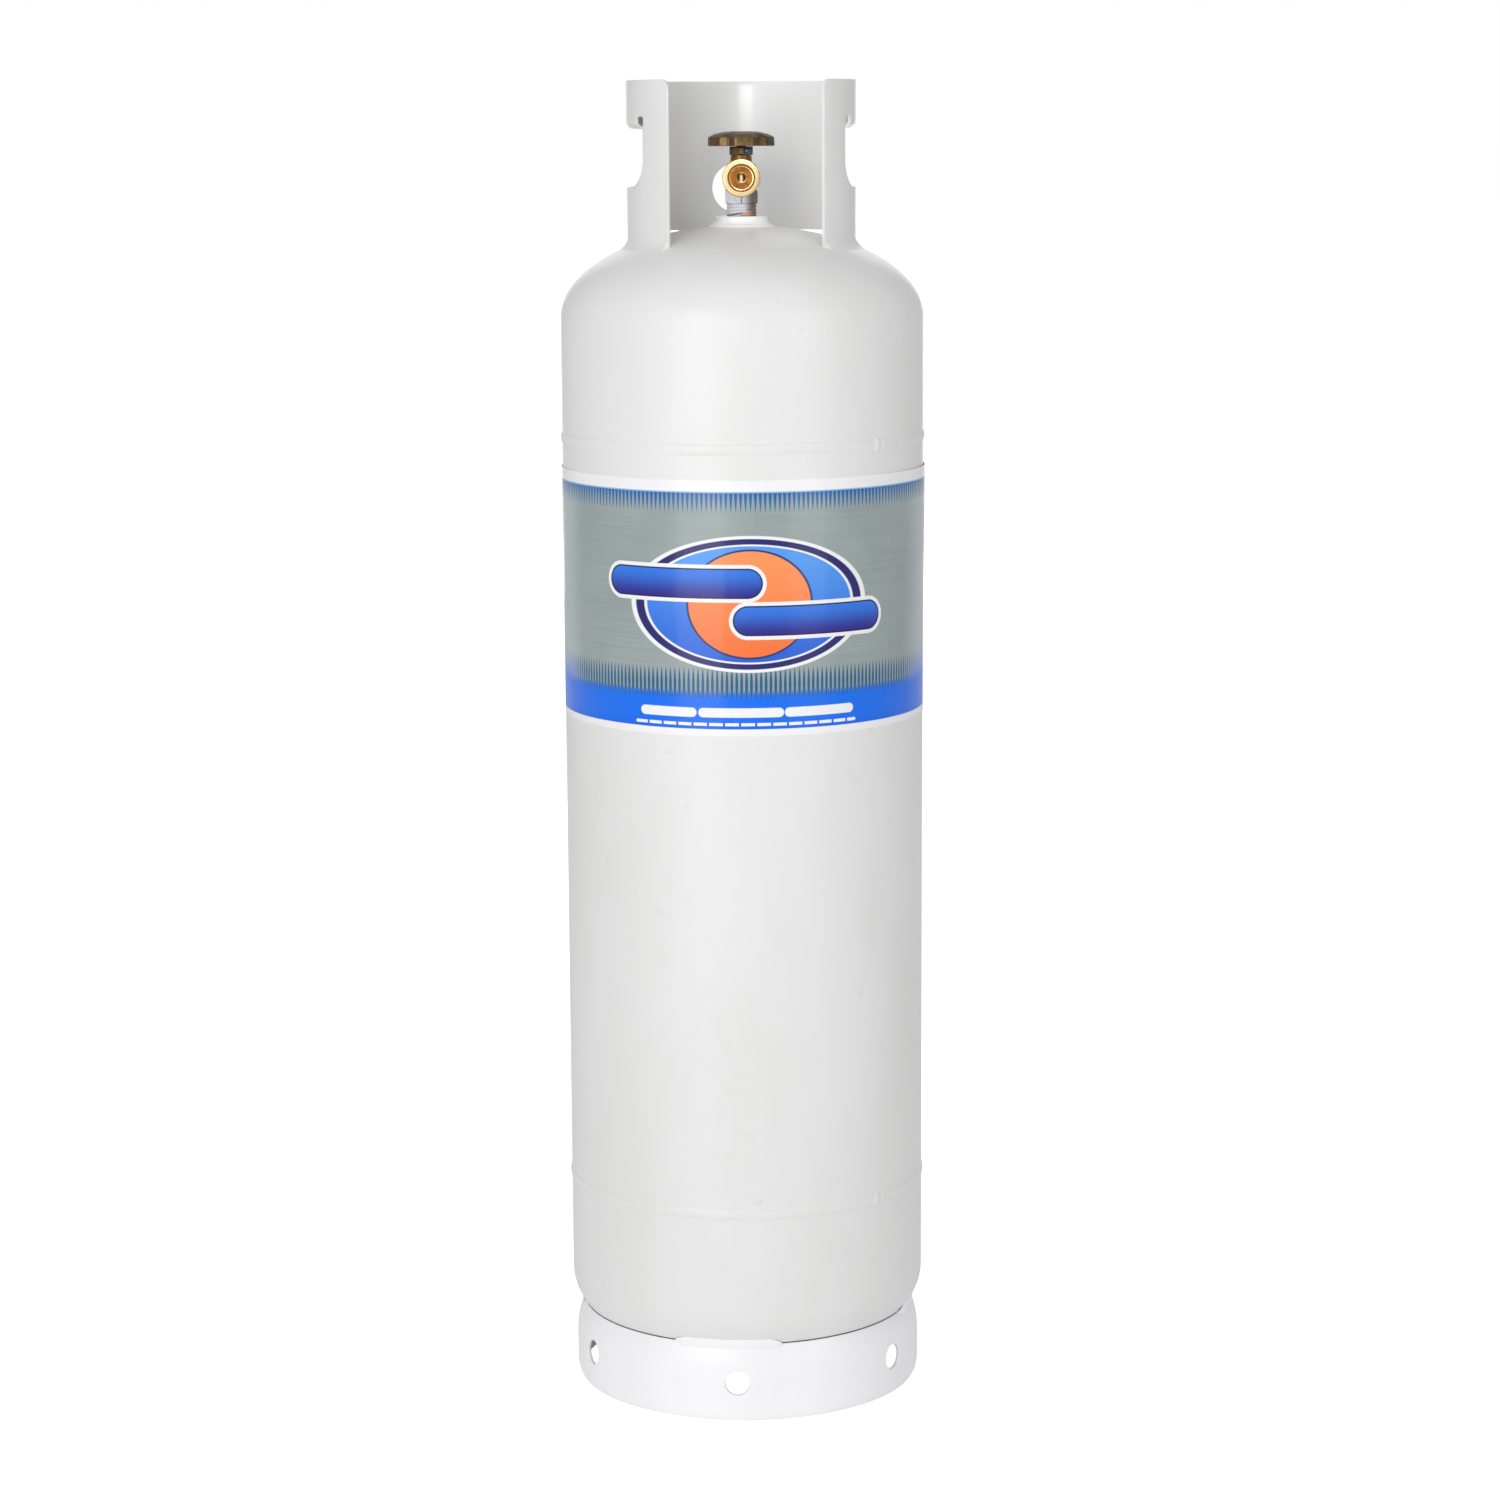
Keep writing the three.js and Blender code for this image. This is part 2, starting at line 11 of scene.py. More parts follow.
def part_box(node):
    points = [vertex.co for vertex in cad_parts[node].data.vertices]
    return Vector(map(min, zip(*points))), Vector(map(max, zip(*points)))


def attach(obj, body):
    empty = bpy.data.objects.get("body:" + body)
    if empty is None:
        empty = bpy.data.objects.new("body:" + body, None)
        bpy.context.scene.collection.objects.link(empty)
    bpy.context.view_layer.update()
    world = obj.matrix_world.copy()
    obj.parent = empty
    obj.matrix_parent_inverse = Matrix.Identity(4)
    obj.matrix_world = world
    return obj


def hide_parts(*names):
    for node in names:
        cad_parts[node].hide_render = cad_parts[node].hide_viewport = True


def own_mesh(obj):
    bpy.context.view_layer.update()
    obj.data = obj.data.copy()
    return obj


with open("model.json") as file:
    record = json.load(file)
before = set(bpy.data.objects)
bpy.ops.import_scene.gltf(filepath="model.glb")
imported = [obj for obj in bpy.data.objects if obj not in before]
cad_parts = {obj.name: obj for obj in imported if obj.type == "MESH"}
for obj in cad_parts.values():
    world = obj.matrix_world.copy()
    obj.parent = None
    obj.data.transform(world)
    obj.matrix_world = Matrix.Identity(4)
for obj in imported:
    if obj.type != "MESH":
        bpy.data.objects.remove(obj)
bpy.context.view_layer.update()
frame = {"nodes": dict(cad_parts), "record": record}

# Lengths are in millimetres until a mesh is made. Angles are in degrees from the front (-Y),
# positive towards +X.
MM = 0.001
scene = bpy.context.scene
scene.view_settings.view_transform = "Standard"
record = frame["record"]
body_of = {node: body for body, nodes in record["behaviour"]["bodies"].items() for node in nodes}
slot_of = {part["node"]: part["material_slot"] for part in record["subparts"]}


def extent(node):
    """The lowest and highest corners of a CAD node, in millimetres."""
    low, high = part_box(node)
    return low / MM, high / MM


def middle_height(node):
    low, high = extent(node)
    return (low.z + high.z) / 2


# Sizes that come from the frame.
SHELL = extent("shell_course")[1].x
HEAD_DEPTH = SHELL / 2
LOWER_TANGENT = extent("lower_head")[0].z + HEAD_DEPTH
BOSS_HOLE = 22.5
UPPER_TANGENT = extent("upper_head")[1].z - HEAD_DEPTH * math.sqrt(1 - (BOSS_HOLE / SHELL) ** 2)
LOWER_WELD = middle_height("lower_girth_weld")
UPPER_WELD = middle_height("upper_girth_weld")
SLEEVE_LOW = extent("printed_sleeve")[0].z
SLEEVE_HIGH = extent("printed_sleeve")[1].z
FOOT_RADIUS = extent("foot_ring")[1].x
FOOT_TOP = extent("foot_ring")[1].z
COLLAR_TOP = extent("collar")[1].z
BOSS_TOP = extent("valve_boss")[1].z
BOSS_RADIUS = extent("valve_boss")[1].x
OUTLET_REACH = -extent("valve_body")[0].y
OUTLET_HEIGHT = middle_height("relief_retainer")
WHEEL_LOW, WHEEL_HIGH = (corner.z for corner in extent("handwheel"))
BONNET_TOP = extent("bonnet")[1].z
SPRING_LOW, SPRING_HIGH = (corner.y for corner in extent("relief_spring"))
RELIEF_JOINT = next(joint for joint in record["behaviour"]["joints"] if joint["name"] == "relief_lift")
RELIEF_LIFT = RELIEF_JOINT["range_m"][1] / MM

# Sizes that the frame's boxes don't show. The hand holes are either side of the front, the foot
# ring's holes and welds are evenly spaced, and the tape's turns lie askew on the thread.
WALL = 2.6
SHEET = 3.0
COLLAR = 113.0
COLLAR_TURN = 3.3
COLLAR_OPENING = 41.8
CURL_RADIUS = 7.5
CURL_HEIGHT = 1276.5
HAND_HOLE_LOW = 1212.5
HAND_HOLE_ANGLE = 91.5
BACK_HOLE_HEIGHT = 1210.0
BACK_HOLE_RADIUS = 24.0
FOOT_HOLES = 6
FOOT_HOLE_TURN = -3.4
FOOT_HOLE_RADIUS = 12.5
FOOT_HOLE_HEIGHT = 40.0
WHEEL_RADIUS = 33.7
WHEEL_LOBES = 6
WHEEL_TURN = 5.0
BLEED_ANGLE = 135.0
FOOT_WELD_START = -25.0
FOOT_WELD_SWEEP = 36.5
SLEEVE_SEAM = 84.0
NOSE_RADIUS = 18.5
THREAD_PITCH = 1.81
TAPE_PITCH = 2.9
TAPE_ASKEW = 1.3
TAPE_ASKEW_FROM = 0.6


# --- mesh helpers


def piece(points, faces):
    """A new object from points in millimetres, with its faces turned outwards."""
    mesh = bpy.data.meshes.new("shape")
    mesh.from_pydata([tuple(c * MM for c in point) for point in points], [], faces)
    turned_out = bmesh.new()
    turned_out.from_mesh(mesh)
    bmesh.ops.recalc_face_normals(turned_out, faces=turned_out.faces)
    turned_out.to_mesh(mesh)
    turned_out.free()
    item = bpy.data.objects.new("shape", mesh)
    scene.collection.objects.link(item)
    return item


def settle(item):
    """Applies an object's modifiers."""
    depsgraph = bpy.context.evaluated_depsgraph_get()
    mesh = bpy.data.meshes.new_from_object(item.evaluated_get(depsgraph))
    item.modifiers.clear()
    item.data = mesh
    return item


def combine(item, others, operation):
    for other in others:
        modifier = item.modifiers.new("combine", "BOOLEAN")
        modifier.operation = operation
        modifier.solver = "MANIFOLD"
        modifier.object = other
    settle(item)
    for other in others:
        bpy.data.objects.remove(other)
    return item


def join(item, *others):
    return combine(item, others, "UNION")


def cut(item, *others):
    return combine(item, others, "DIFFERENCE")


def bevel(item, width, segments=2, angle=40):
    modifier = item.modifiers.new("bevel", "BEVEL")
    modifier.width = width * MM
    modifier.segments = segments
    modifier.limit_method = "ANGLE"
    modifier.angle_limit = math.radians(angle)
    modifier.use_clamp_overlap = False
    return settle(item)


def moved(item, matrix):
    item.data.transform(matrix)
    return item


def laid(item, angle, height=OUTLET_HEIGHT):
    """Lays a shape that points along +Z down, towards an angle from the front, at the outlet's height
    or another."""
    turn = Matrix.Rotation(math.radians(angle), 4, "Z") @ Matrix.Rotation(math.radians(90), 4, "X")
    return moved(item, Matrix.Translation((0, 0, height * MM)) @ turn)


def place(item, node, sharp=35):
    """Shades and names an object, and puts it in the place of a CAD node, on its body and in its slot."""
    mesh = item.data
    item.name = mesh.name = node + "_fine"
    cleaned = bmesh.new()
    cleaned.from_mesh(mesh)
    for face in cleaned.faces:
        face.smooth = True
    for edge in cleaned.edges:
        edge.smooth = edge.calc_face_angle(0) < math.radians(sharp)
    cleaned.to_mesh(mesh)
    cleaned.free()
    mesh.materials.clear()
    mesh.materials.append(MATERIALS[slot_of[node]])
    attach(item, body_of[node])
    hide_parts(node)
    return item


def polar(radius, angle, height):
    around = math.radians(angle)
    return (radius * math.sin(around), -radius * math.cos(around), height)


def smooth(low, high, value):
    """Rises from 0 at low to 1 at high."""
    t = min(max((value - low) / (high - low), 0), 1)
    return t * t * (3 - 2 * t)


def hump(centre, width, value):
    return math.exp(-(((value - centre) / width) ** 2))


def circle(x, y, radius, count):
    angles = np.linspace(0, 2 * math.pi, count, endpoint=False)
    return [(x + radius * math.cos(a), y + radius * math.sin(a)) for a in angles]


def rounded(corners, step=15):
    """A closed profile whose corners (radius, height, fillet) are rounded off by arcs."""
    path = []
    for i, corner in enumerate(corners):
        here = Vector(corner[:2])
        if len(corner) < 3:
            path.append(tuple(here))
            continue
        before = (Vector(corners[i - 1][:2]) - here).normalized()
        after = (Vector(corners[(i + 1) % len(corners)][:2]) - here).normalized()
        half = before.angle(after) / 2
        centre = here + (before + after).normalized() * corner[2] / math.sin(half)
        first = here + before * corner[2] / math.tan(half) - centre
        last = here + after * corner[2] / math.tan(half) - centre
        sweep = math.atan2(first.x * last.y - first.y * last.x, first.dot(last))
        steps = max(2, math.ceil(abs(math.degrees(sweep)) / step))
        for k in range(steps + 1):
            turned_by = Matrix.Rotation(sweep * k / steps, 2)
            path.append(tuple(centre + turned_by @ first))
    return path


def turned(profile, around=192, shape=None):
    """A closed profile of (radius, height) points, counter-clockwise, spun about +Z.
    shape(radius, height, angle) may move each point."""
    points = []
    rings = []
    for radius, height in profile:
        if radius < 1e-6:
            rings.append([len(points)] * around)
            points.append((0, 0, height))
            continue
        rings.append(range(len(points), len(points) + around))
        for k in range(around):
            angle = 360 * k / around
            r, z = shape(radius, height, angle) if shape else (radius, height)
            points.append(polar(r, angle, z))
    faces = []
    for i, ring in enumerate(rings):
        above = rings[(i + 1) % len(rings)]
        for k in range(around):
            face = [ring[k], ring[(k + 1) % around], above[(k + 1) % around], above[k]]
            corners = list(dict.fromkeys(face))
            if len(corners) > 2:
                faces.append(corners)
    return piece(points, faces)


def lathed(around, *corners, shape=None):
    """A rounded profile spun about +Z."""
    return turned(rounded(corners), around, shape)


def rod(radius, low, high, around=64):
    return turned([(0, low), (radius, low), (radius, high), (0, high)], around)


def stitched(rings, closed=False):
    """Rings with the same number of points, each joined to the next. The last is joined to the first
    when they are closed, and otherwise both ends are filled in."""
    size = len(rings[0])
    points = [point for ring in rings for point in ring]
    faces = [] if closed else [list(range(size)), [len(points) - 1 - i for i in range(size)]]
    for k in range(len(rings) if closed else len(rings) - 1):
        here, there = k * size, (k + 1) % len(rings) * size
        for i in range(size):
            j = (i + 1) % size
            faces.append([here + i, there + i, there + j, here + j])
    return piece(points, faces)


def swept(section, start, end, count):
    """A section(angle) of (radius, height) points swept between two angles, and closed on itself
    when they are a full turn apart."""
    whole = abs(end - start - 360) < 1e-6
    angles = np.linspace(start, end, count, endpoint=False) if whole else np.linspace(start, end, count + 1)
    return stitched([[polar(r, angle, z) for r, z in section(angle)] for angle in angles], whole)


def prism(outline, low, high):
    return stitched([[(x, y, z) for x, y in outline] for z in (low, high)])


def hexagonal(across, low, high):
    """A hexagonal bar with one corner to the front and the corners of its ends turned down."""
    corner = across / 2 / math.cos(math.radians(30))
    bar = prism([polar(corner, 60 * k, 0)[:2] for k in range(6)], low, high)
    flat, past = across / 2 - 0.4, corner + 0.1
    drop = (corner - flat) * math.tan(math.radians(30))
    profile = [(0, low), (flat, low), (past, low + drop), (past, high - drop), (flat, high), (0, high)]
    return combine(bar, [turned(profile, 96)], "INTERSECT")


# --- formed sheet


def subdivided(outline, step):
    """A closed outline with no side longer than step, and no point twice in a row."""
    path = []
    for (ax, ay), (bx, by) in zip(outline, outline[1:] + outline[:1]):
        count = math.ceil(max(0, math.hypot(bx - ax, by - ay) - 1e-6) / step)
        path.extend((ax + (bx - ax) * k / count, ay + (by - ay) * k / count) for k in range(count))
    return path


def within(points, loops):
    """Whether each point is inside the first loop and outside the others."""
    crossings = np.zeros(len(points), int)
    for loop in loops:
        a = np.array(loop)
        b = np.roll(a, -1, 0)
        x, y = points[:, :1], points[:, 1:]
        spans = (a[:, 1] > y) != (b[:, 1] > y)
        rise = np.where(b[:, 1] == a[:, 1], 1, b[:, 1] - a[:, 1])
        at = a[:, 0] + (y - a[:, 1]) / rise * (b[:, 0] - a[:, 0])
        crossings += (spans & (x < at)).sum(1)
    return crossings % 2 == 1


def clearances(points, loops):
    """How far each point is from the nearest loop."""
    nearest = np.full(len(points), np.inf)
    for loop in loops:
        a = np.array(loop)
        side = np.roll(a, -1, 0) - a
        offset = points[:, None, :] - a
        along = np.clip((offset * side).sum(2) / (side**2).sum(1), 0, 1)
        gap = np.linalg.norm(offset - along[:, :, None] * side, axis=2)
        nearest = np.minimum(nearest, gap.min(1))
    return nearest


def formed(loops, grid, form, thickness, clearance):
    """Sheet metal: a flat outline with holes, filled on a grid, and formed into shape.
    form(u, v, depth) places a flat point at a depth below the outer face."""
    grid = np.array(grid)
    grid = grid[within(grid, loops) & (clearances(grid, loops) > clearance)]
    flat, sides = [], []
    for loop in loops:
        first = len(flat)
        flat += [Vector(point) for point in loop]
        sides += [(first + k, first + (k + 1) % len(loop)) for k in range(len(loop))]
    flat += [Vector(point) for point in grid]
    corners, _, triangles, _, _, _ = delaunay_2d_cdt(flat, sides, [], 0, 1e-5)
    corners = np.array([tuple(c) for c in corners])
    triangles = np.array(triangles)
    triangles = triangles[within(corners[triangles].mean(1), loops)]

    merged = {}
    order = []
    points = []
    for u, v in corners:
        outer = form(u, v, 0)
        key = tuple(round(c, 2) for c in outer)
        if key not in merged:
            merged[key] = len(points)
            points.append((outer, form(u, v, thickness)))
        order.append(merged[key])
    count = len(points)
    faces = [[order[i] for i in triangle] for triangle in triangles]
    sides = {(face[i], face[(i + 1) % 3]) for face in faces for i in range(3)}
    rims = [(a, b) for a, b in sides if (b, a) not in sides]
    faces += [[i + count for i in face[::-1]] for face in faces]
    faces += [[b, a, a + count, b + count] for a, b in sorted(rims)]
    return piece([p[0] for p in points] + [p[1] for p in points], faces)


# --- material helpers


def linear(red, green, blue):
    """A display colour, 0 to 255, as linear light."""
    parts = [c / 255 for c in (red, green, blue)]
    return (*[c / 12.92 if c <= 0.04045 else ((c + 0.055) / 1.055) ** 2.4 for c in parts], 1)


class Field:
    """A number that varies over a surface, made of shader nodes."""

    def __init__(self, tree, value):
        self.tree = tree
        self.value = value

    def math(self, operation, *others):
        node = self.tree.nodes.new("ShaderNodeMath")
        node.operation = operation
        for socket, value in zip(node.inputs, (self, *others)):
            if isinstance(value, Field):
                self.tree.links.new(value.value, socket)
            else:
                socket.default_value = value
        return Field(self.tree, node.outputs[0])

    def __add__(self, other):
        return self.math("ADD", other)

    def __sub__(self, other):
        return self.math("SUBTRACT", other)

    def __mul__(self, other):
        return self.math("MULTIPLY", other)

    def __truediv__(self, other):
        return self.math("DIVIDE", other)

    def absolute(self):
        return self.math("ABSOLUTE")

    def step(self, low, high):
        """Goes smoothly from 0 at low to 1 at high."""
        node = self.tree.nodes.new("ShaderNodeMapRange")
        node.interpolation_type = "SMOOTHSTEP"
        self.tree.links.new(self.value, node.inputs["Value"])
        for name, end in (("From Min", low), ("From Max", high)):
            if isinstance(end, Field):
                self.tree.links.new(end.value, node.inputs[name])
            else:
                node.inputs[name].default_value = end
        return Field(self.tree, node.outputs[0])

    def below(self, edge, blur=0.25):
        """1 where the number is below an edge, 0 above it."""
        return self.step(edge + blur, edge - blur)


def hypotenuse(first, second):
    return (first * first + second * second).math("SQRT")


class Finish:
    """A material and the nodes that its looks are made of. Colours are display colours."""

    def __init__(self, name, tone, **constants):
        self.tone = tone
        self.material = bpy.data.materials.new(name)
        self.material.use_nodes = True
        self.tree = self.material.node_tree
        self.shader = self.tree.nodes["Principled BSDF"]
        for socket, value in {"IOR": 1.5, **constants}.items():
            self.shader.inputs[socket.replace("_", " ")].default_value = value
        self.place = self.tree.nodes.new("ShaderNodeTexCoord").outputs["Object"]
        split = self.tree.nodes.new("ShaderNodeSeparateXYZ")
        self.tree.links.new(self.place, split.inputs[0])
        self.x, self.y, self.z = (Field(self.tree, s) * (1 / MM) for s in split.outputs)

    def around(self):
        """The angle from the front, in radians."""
        return self.x.math("ARCTAN2", self.y * -1.0)

    def noise(self, size, detail=3, stretch=(1, 1, 1), roughness=0.5):
        """Noise from 0 to 1 whose lumps are about size millimetres, stretched along each axis."""
        scaled = self.tree.nodes.new("ShaderNodeVectorMath")
        scaled.operation = "MULTIPLY"
        self.tree.links.new(self.place, scaled.inputs[0])
        scaled.inputs[1].default_value = [1 / (size * MM * s) for s in stretch]
        node = self.tree.nodes.new("ShaderNodeTexNoise")
        node.inputs["Scale"].default_value = 1
        node.inputs["Detail"].default_value = detail
        node.inputs["Roughness"].default_value = roughness
        self.tree.links.new(scaled.outputs[0], node.inputs["Vector"])
        return Field(self.tree, node.outputs["Fac"])

    def mix(self, mask, first, second):
        """A colour between two, each a display colour or a socket."""
        node = self.tree.nodes.new("ShaderNodeMix")
        node.data_type = "RGBA"
        node.clamp_factor = True
        self.tree.links.new(mask.value, node.inputs["Factor"])
        for socket, value in ((node.inputs[6], first), (node.inputs[7], second)):
            if isinstance(value, tuple):
                socket.default_value = linear(*value)
            else:
                self.tree.links.new(value, socket)
        return node.outputs[2]

    def lay(self, mask, tone):
        """Lays a colour over the ones before it, where a mask is 1."""
        self.tone = self.mix(mask, self.tone, tone)
        self.tree.links.new(self.tone, self.shader.inputs["Base Color"])

    def number(self, name, field):
        self.tree.links.new(field.value, self.shader.inputs[name])

    def bump(self, *layers):
        """Bumps one on another, each a height field and its depth in millimetres."""
        normal = None
        for field, depth in layers:
            node = self.tree.nodes.new("ShaderNodeBump")
            node.inputs["Distance"].default_value = depth * MM
            self.tree.links.new(field.value, node.inputs["Height"])
            if normal:
                self.tree.links.new(normal, node.inputs["Normal"])
            normal = node.outputs[0]
        self.tree.links.new(normal, self.shader.inputs["Normal"])


# --- materials


def plain(name, first, second, mottle, gloss, relief, detail=3, stretch=(1, 1, 1), **constants):
    """Two close tones mottled together. gloss is the roughness noise's size, its spread and the least
    roughness, and detail is that noise's. relief is the bumps' size and depth, and stretch is theirs."""
    finish = Finish(name, first, **constants)
    finish.lay(finish.noise(mottle), second)
    finish.number("Roughness", finish.noise(gloss[0], detail) * gloss[1] + gloss[2])
    finish.bump((finish.noise(relief[0], 2, stretch), relief[1]))
    return finish.material


def paint(name, clean, dull, stain, patch=None):
    """Sprayed gloss paint: orange peel, slow waves in the sheet, and slight stains.
    patch(finish) may change the colour in places."""
    finish = Finish(name, clean, Coat_Weight=0.15, Coat_Roughness=0.14)
    finish.lay(finish.noise(90, 4, (1, 1, 2.5)).step(0.35, 0.75), dull)
    finish.lay(finish.noise(22, 6, roughness=0.62).step(0.62, 0.8) * 0.5, stain)
    if patch:
        patch(finish)
    finish.number("Roughness", finish.noise(14) * 0.1 + 0.34)
    finish.bump((finish.noise(70, 2), 1.1), (finish.noise(3.2, 2), 0.045), (finish.noise(0.9, 1), 0.008))
    return finish.material


def painted_guard_light_and_groove_shade(finish):
    """Painted light and shade on the enamel: the guard's inside is painted paler in its right half and
    darker in its left half, and a dark band of painted shade lies in the groove above the foot ring."""
    inside = hypotenuse(finish.x, finish.y).below(COLLAR - 1.0, 0.4) * (finish.z - BOSS_TOP).step(-34, -14)
    finish.lay(inside * finish.x.step(-20, 60) * 0.9, (252, 252, 252))
    finish.lay(inside * finish.x.below(-40, 30) * 0.6, (206, 206, 205))
    over_ring = finish.z - FOOT_TOP
    finish.lay(over_ring.step(-6.0, -5.5) * over_ring.below(1.1, 0.2), (104, 102, 102))


def brass():
    """Forged brass with a turned outlet nose, a brown skin above the outlet, and grey sealing compound on
    the hexagon, with painted shade on its right faces and a painted dark line along its front corner."""
    finish = Finish("valve_brass", (236, 198, 132))
    x, up, above_outlet = finish.x, finish.z - BOSS_TOP, finish.z - OUTLET_HEIGHT
    reach = hypotenuse(x, above_outlet)
    into = finish.y + OUTLET_REACH
    nose = finish.y.below(-23.6, 0.3)
    behind = finish.y.step(-22.4, -21.6)
    mottle = finish.noise(5, 5)
    finish.lay(mottle.step(0.3, 0.75), (222, 176, 104))
    finish.lay(nose, (228, 198, 148))

    # On the nose, the outer rim and the mouth's chamfer are painted darker as shade, and the ledge in the
    # mouth is painted brighter as a highlight.
    rim = into.below(1.0, 0.3) * reach.step(17.6, 18.1)
    chamfer = nose * reach.step(11.8, 12.0) * reach.below(13.7, 0.1)
    finish.lay((rim + chamfer) * 0.8, (158, 116, 70))
    finish.lay(into.step(1.2, 1.6) * reach.step(10.8, 11.0) * reach.below(11.8, 0.1), (236, 206, 158))

    # The bore is worn in patches. In the seat, a vertical bar and a spot below the axis are painted
    # highlight.
    bore = reach.below(10.8, 0.3) * into.step(1.5, 3.0)
    worn = finish.noise(3, 4).step(0.35, 0.65)
    finish.lay(bore, finish.mix(worn, (246, 200, 122), (214, 158, 84)))
    painted_seat_highlight = x.absolute().below(1.5, 0.6) + above_outlet.below(-2.6, 0.5)
    finish.lay(reach.below(7.4, 0.3) * into.step(22.5, 23.5) * painted_seat_highlight, (255, 238, 192))

    skin = up.step(45.0, 49.0) * behind
    finish.lay(skin, finish.mix(mottle.step(0.35, 0.65), (142, 112, 68), (118, 90, 52)))
    cover = (finish.noise(2.6, 4) * 2.0 + up).below(27.4, 0.7) * behind
    grey = finish.mix(finish.noise(2.4).step(0.35, 0.7), (240, 243, 248), (226, 229, 236))
    # Painted shade: the hexagon's grey is laid dark brown towards its right faces, and a dark line is
    # painted along its front corner.
    grey = finish.mix(x.step(0.5, 11.0) * 0.9, grey, (84, 78, 70))
    crease = x.absolute().below(0.5, 0.2) * finish.y.below(-14, 0.5)
    finish.lay(cover, finish.mix(crease * 0.9, grey, (96, 96, 98)))

    finish.number("Metallic", cover * -0.8 + bore * -0.45 + 1.0)
    dulled = cover * 0.16 + skin * 0.12 + nose * -0.04 + bore * 0.16
    finish.number("Roughness", finish.noise(1.6) * 0.1 + dulled + 0.2)
    lathe_lines = (reach * (2 * math.pi / 0.8)).math("SINE") * into.below(1.0, 0.5)
    finish.bump((finish.noise(0.7) * (nose * -0.9 + 1.0), 0.03), (lathe_lines, 0.0015))
    return finish.material


def bronze():
    """Dull cast brass with a brown skin, painted darker on its right as shade, and lighter where fingers
    rub it.
    """
    finish = Finish("bronzed_brass", (134, 110, 76))
    skin = finish.noise(7, 5, roughness=0.6)
    finish.lay(skin.step(0.3, 0.7), (104, 83, 56))
    # Painted shade: the right side is laid darker brown.
    finish.lay(finish.x.step(6, 24) * 0.8, (80, 65, 50))
    finish.lay(finish.noise(3.5, 4).step(0.55, 0.72) * 0.5, (164, 140, 102))
    finish.number("Metallic", skin.step(0, 1) * 0.1 + 0.86)
    finish.number("Roughness", finish.noise(2.2) * 0.16 + 0.3)
    finish.bump((finish.noise(1.1), 0.06), (finish.noise(0.35, 2), 0.02))
    return finish.material


def tape():
    """Soft grey tape, with a coppery stain on its right, painted shade that darkens its right side and the
    right of the stain, and a dark line where its end lies.
    """
    finish = Finish("sealing_tape", (238, 240, 245), IOR=1.4, Specular_IOR_Level=0.4)
    x, up, around = finish.x, finish.z - BOSS_TOP, finish.around()
    fibres = finish.noise(0.8, 4, (3, 3, 0.7))
    finish.lay(fibres.step(0.3, 0.7), (210, 212, 220))
    askew = (around + TAPE_ASKEW_FROM).math("SINE") * TAPE_ASKEW
    turn = (finish.z - askew) / TAPE_PITCH + around / (2 * math.pi)
    finish.lay(turn.math("FRACT").below(0.16, 0.08) * 0.55, (118, 118, 126))
    smear = finish.noise(2.5, 4, (2, 2, 0.7)) * 4
    # Painted shade: the tape's right side is laid dark brown.
    finish.lay((x + smear).step(4, 12) * 0.85, (104, 84, 74))
    stain = (up + smear - x * 0.3).below(4.4, 0.8) * x.step(-6, 0)
    # The coppery stain turns darker towards the right as painted shade.
    finish.lay(stain * 0.85, finish.mix(x.step(6, 13), (214, 160, 126), (130, 98, 76)))
    end = (up - x * 0.2 - 3.0).absolute().below(0.8, 0.35) * x.below(1, 4)
    finish.lay(end * 0.85, (66, 62, 66))
    finish.number("Roughness", fibres * 0.2 + 0.38)
    finish.bump((fibres, 0.03))
    return finish.material


def bar(along, up, centre, height, half_length, half_width):
    """How far a point is outside a bar with round ends, in millimetres."""
    past = ((along - centre).absolute() - half_length).math("MAXIMUM", 0.0)
    return hypotenuse(past, up - height) - half_width


def oval(along, up, half_length, half_height):
    """1 on the edge of an oval in the badge's middle, and less inside it."""
    return hypotenuse((along - 6.0) / half_length, (up - 128.0) / half_height)


